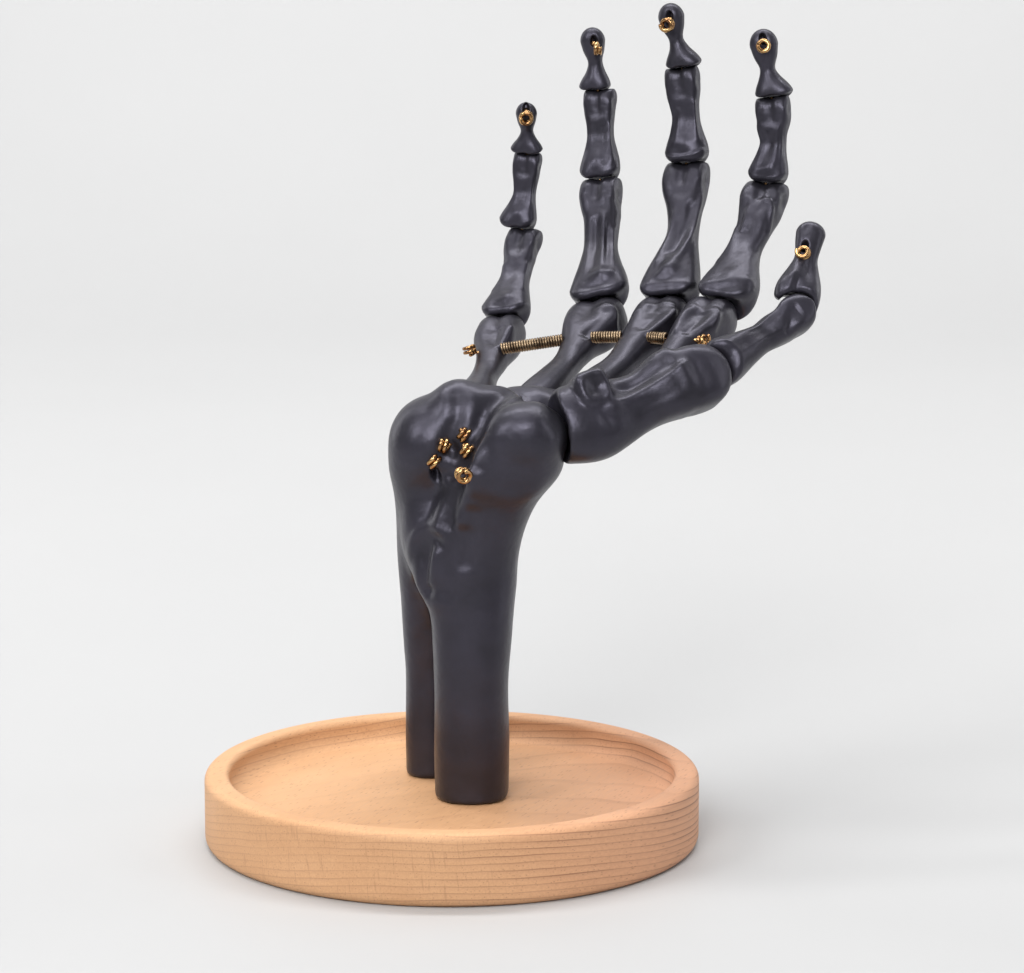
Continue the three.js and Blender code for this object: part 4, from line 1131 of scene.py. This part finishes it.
def makeWristCoils():
    for digit, ((x, z), way, turns) in wristCoils.items():
        middle = np.array([x, frontOf(x, z) + wristCoil["sink"], z])
        start = middle - unitWay(way) * 0.5 * turns * wristCoil["pitch"]
        path = coilPath(start, way, wristCoil["radius"], turns, wristCoil["pitch"])
        mesh = meshOfSkins(digit + "_wrist_coil", [wireSkin(path, wristCoil["wire"])])
        addPiece(digit + "_wrist_coil", mesh, "stand", brass, digit + "_wrist_wire")


makeWristCoils()

# the wire through the finger metacarpals: spare is its length past the outer bones, tuck brings the first
# coil's axis back towards the wire, and drop and lift place that coil's lower end
crossWire = {
    "order": ("little", "ring", "middle", "index"), "wire": 0.5, "setback": 12.5, "palmar": 2.7, "spare": 0.6,
    "coilTurns": 2.2, "coilPitch": 1.15, "coilRadius": 1.4,
    "endAxis": (-0.21, 0.0, 0.977), "tuck": 1.0, "drop": 0.6, "lift": 1.1,
}
# share is how much of each bone's half width a spring starts from
spring = {"wire": 0.33, "sides": 8, "radius": 1.35, "pitch": 0.72, "perTurn": 20, "share": 0.76}


def crossPlace(digit):
    link = chains[digit][0]
    return toWorld(link, np.array([0, -crossWire["palmar"], link["bone"]["length"] - crossWire["setback"]]))


def crossHalf(digit):
    link = chains[digit][0]
    at = np.array([link["bone"]["length"] - crossWire["setback"]])
    return float(smoothRun(boneKeys(link)[0], at)[0, 0])


def makeCrossWire():
    places = [crossPlace(d) for d in crossWire["order"]]
    first, last = unitWay(places[0] - places[1]), unitWay(places[-1] - places[-2])
    start = places[0] + first * (crossHalf("little") + crossWire["spare"])
    end = places[-1] + last * (crossHalf("index") + crossWire["spare"])
    turns, pitch, radius = crossWire["coilTurns"], crossWire["coilPitch"], crossWire["coilRadius"]
    upright = np.array(crossWire["endAxis"])
    below = crossWire["drop"] * turns * pitch - crossWire["lift"]
    low = start + first * (radius - crossWire["tuck"]) - upright * below
    before = coilPath(low, upright, radius, turns, pitch)
    after = coilPath(end, last, radius, turns, pitch)
    stops = np.array([start, *places, end])
    reach = np.concatenate([[0], np.cumsum(np.linalg.norm(np.diff(stops, axis=0), axis=1))])
    even = np.linspace(0, reach[-1], 60)[1:-1]
    straight = np.stack([np.interp(even, reach, stops[:, i]) for i in range(3)], -1)
    mesh = meshOfSkins("cross_wire", [wireSkin(np.concatenate([before, straight, after]), crossWire["wire"])])
    addPiece("cross_wire_run", mesh, "stand", brass, "cross_wire")


def makeSprings():
    for one, other in zip(crossWire["order"], crossWire["order"][1:]):
        a, b = crossPlace(one), crossPlace(other)
        axis = unitWay(b - a)
        a = a + axis * crossHalf(one) * spring["share"]
        b = b - axis * crossHalf(other) * spring["share"]
        turns = np.linalg.norm(b - a) / spring["pitch"]
        path = coilPath(a, axis, spring["radius"], turns, spring["pitch"], spring["perTurn"], 1)
        name = f"{one}_{other}_spring"
        mesh = meshOfSkins(name, [wireSkin(path, spring["wire"], spring["sides"])])
        addPiece(name + "_wound", mesh, "stand", springMetal, name)


makeCrossWire()
makeSprings()
print("wires and springs made")

# the CAD's own screws and inner wires stay, with better finishes
for nodeName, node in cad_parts.items():
    for ending, finish in (("_screw", zinc), ("_wire", brass)):
        if nodeName.endswith(ending):
            node.data.materials.clear()
            node.data.materials.append(finish)

# floor, sweep and light, in metres
studio = {
    "floor": (0.46, 0.46, 0.46), "rough": 0.6, "shade": 0.97, "scales": (3.0, 60.0), "span": (0.3, 0.7),
    "side": 4, "front": -3.0, "top": 3.0, "sweepStart": 0.9, "sweepRadius": 0.6,
    "world": 0.22, "sky": (0.98, 0.98, 1.0, 1),
}
# place, aim, size, watts
panels = {
    "top softbox": ((-0.2, -0.1, 1.3), (0.0, 0.05, 0.1), (0.75, 0.6), 3.2),
    "left softbox": ((-1.1, -0.7, 1.0), (0, 0, 0.12), (0.45, 0.65), 9),
    "front softbox": ((-0.2, -1.4, 1.05), (0.0, 0, 0.12), (0.9, 0.75), 22),
    "right strip": ((1.15, -0.25, 0.55), (0.03, 0, 0.13), (0.3, 1.0), 2.4),
    "back left strip": ((-0.75, 0.55, 0.45), (0, 0, 0.12), (0.2, 0.8), 1.6),
    "back right strip": ((0.8, 0.5, 0.45), (0, 0, 0.12), (0.2, 0.8), 1.6),
    "wall wash": ((0.0, 0.55, 1.9), (0.0, 1.5, 0.5), (2.4, 0.4), 46),
}


def makeFloor():
    # a flat floor that sweeps up into a wall behind
    bend, r = np.radians(np.linspace(0, 90, 24)), studio["sweepRadius"]
    y = np.concatenate([[studio["front"]], studio["sweepStart"] + r * np.sin(bend), [studio["sweepStart"] + r]])
    z = np.concatenate([[0.0], r * (1 - np.cos(bend)), [studio["top"]]])
    x = np.linspace(-studio["side"], studio["side"], 9)
    points = np.stack([x[None, :] + 0 * y[:, None], y[:, None] + 0 * x, z[:, None] + 0 * x], -1) / mm
    n, cols = points.shape[:2]
    start = np.arange(n - 1)[:, None] * cols + np.arange(cols - 1)
    quads = np.stack([start, start + 1, start + cols + 1, start + cols], -1).reshape(-1, 4)
    mesh = makeMesh("floor", points.reshape(-1, 3), [quads])
    material, tree, sockets = newMaterial("pale floor")
    slow = addMottle(tree, *studio["scales"])[0]
    shade = tuple(studio["shade"] * c for c in studio["floor"])
    tree.links.new(rampBetween(tree, slow, studio["span"], shade, studio["floor"]), sockets["Base Color"])
    sockets["Roughness"].default_value = studio["rough"]
    mesh.materials.append(material)
    addObject("floor", mesh)


def addPanel(name, place, aim, size, power):
    light = bpy.data.lights.new(name, "AREA")
    light.shape = "RECTANGLE"
    light.size, light.size_y = size
    light.energy = power
    panel = addObject(name, light)
    panel.location = place
    x, y, z = np.array(aim, float) - np.array(place, float)
    panel.rotation_euler = (np.arctan2(np.hypot(x, y), -z), 0, np.arctan2(y, x) - np.pi / 2)


def lightScene():
    world = bpy.data.worlds.new("studio")
    bpy.context.scene.world = world
    world.use_nodes = True
    back = world.node_tree.nodes["Background"]
    back.inputs["Color"].default_value = studio["sky"]
    back.inputs["Strength"].default_value = studio["world"]
    for name, panel in panels.items():
        addPanel(name, *panel)
    bpy.context.scene.view_settings.view_transform = "Standard"


makeFloor()
lightScene()
print("studio made")
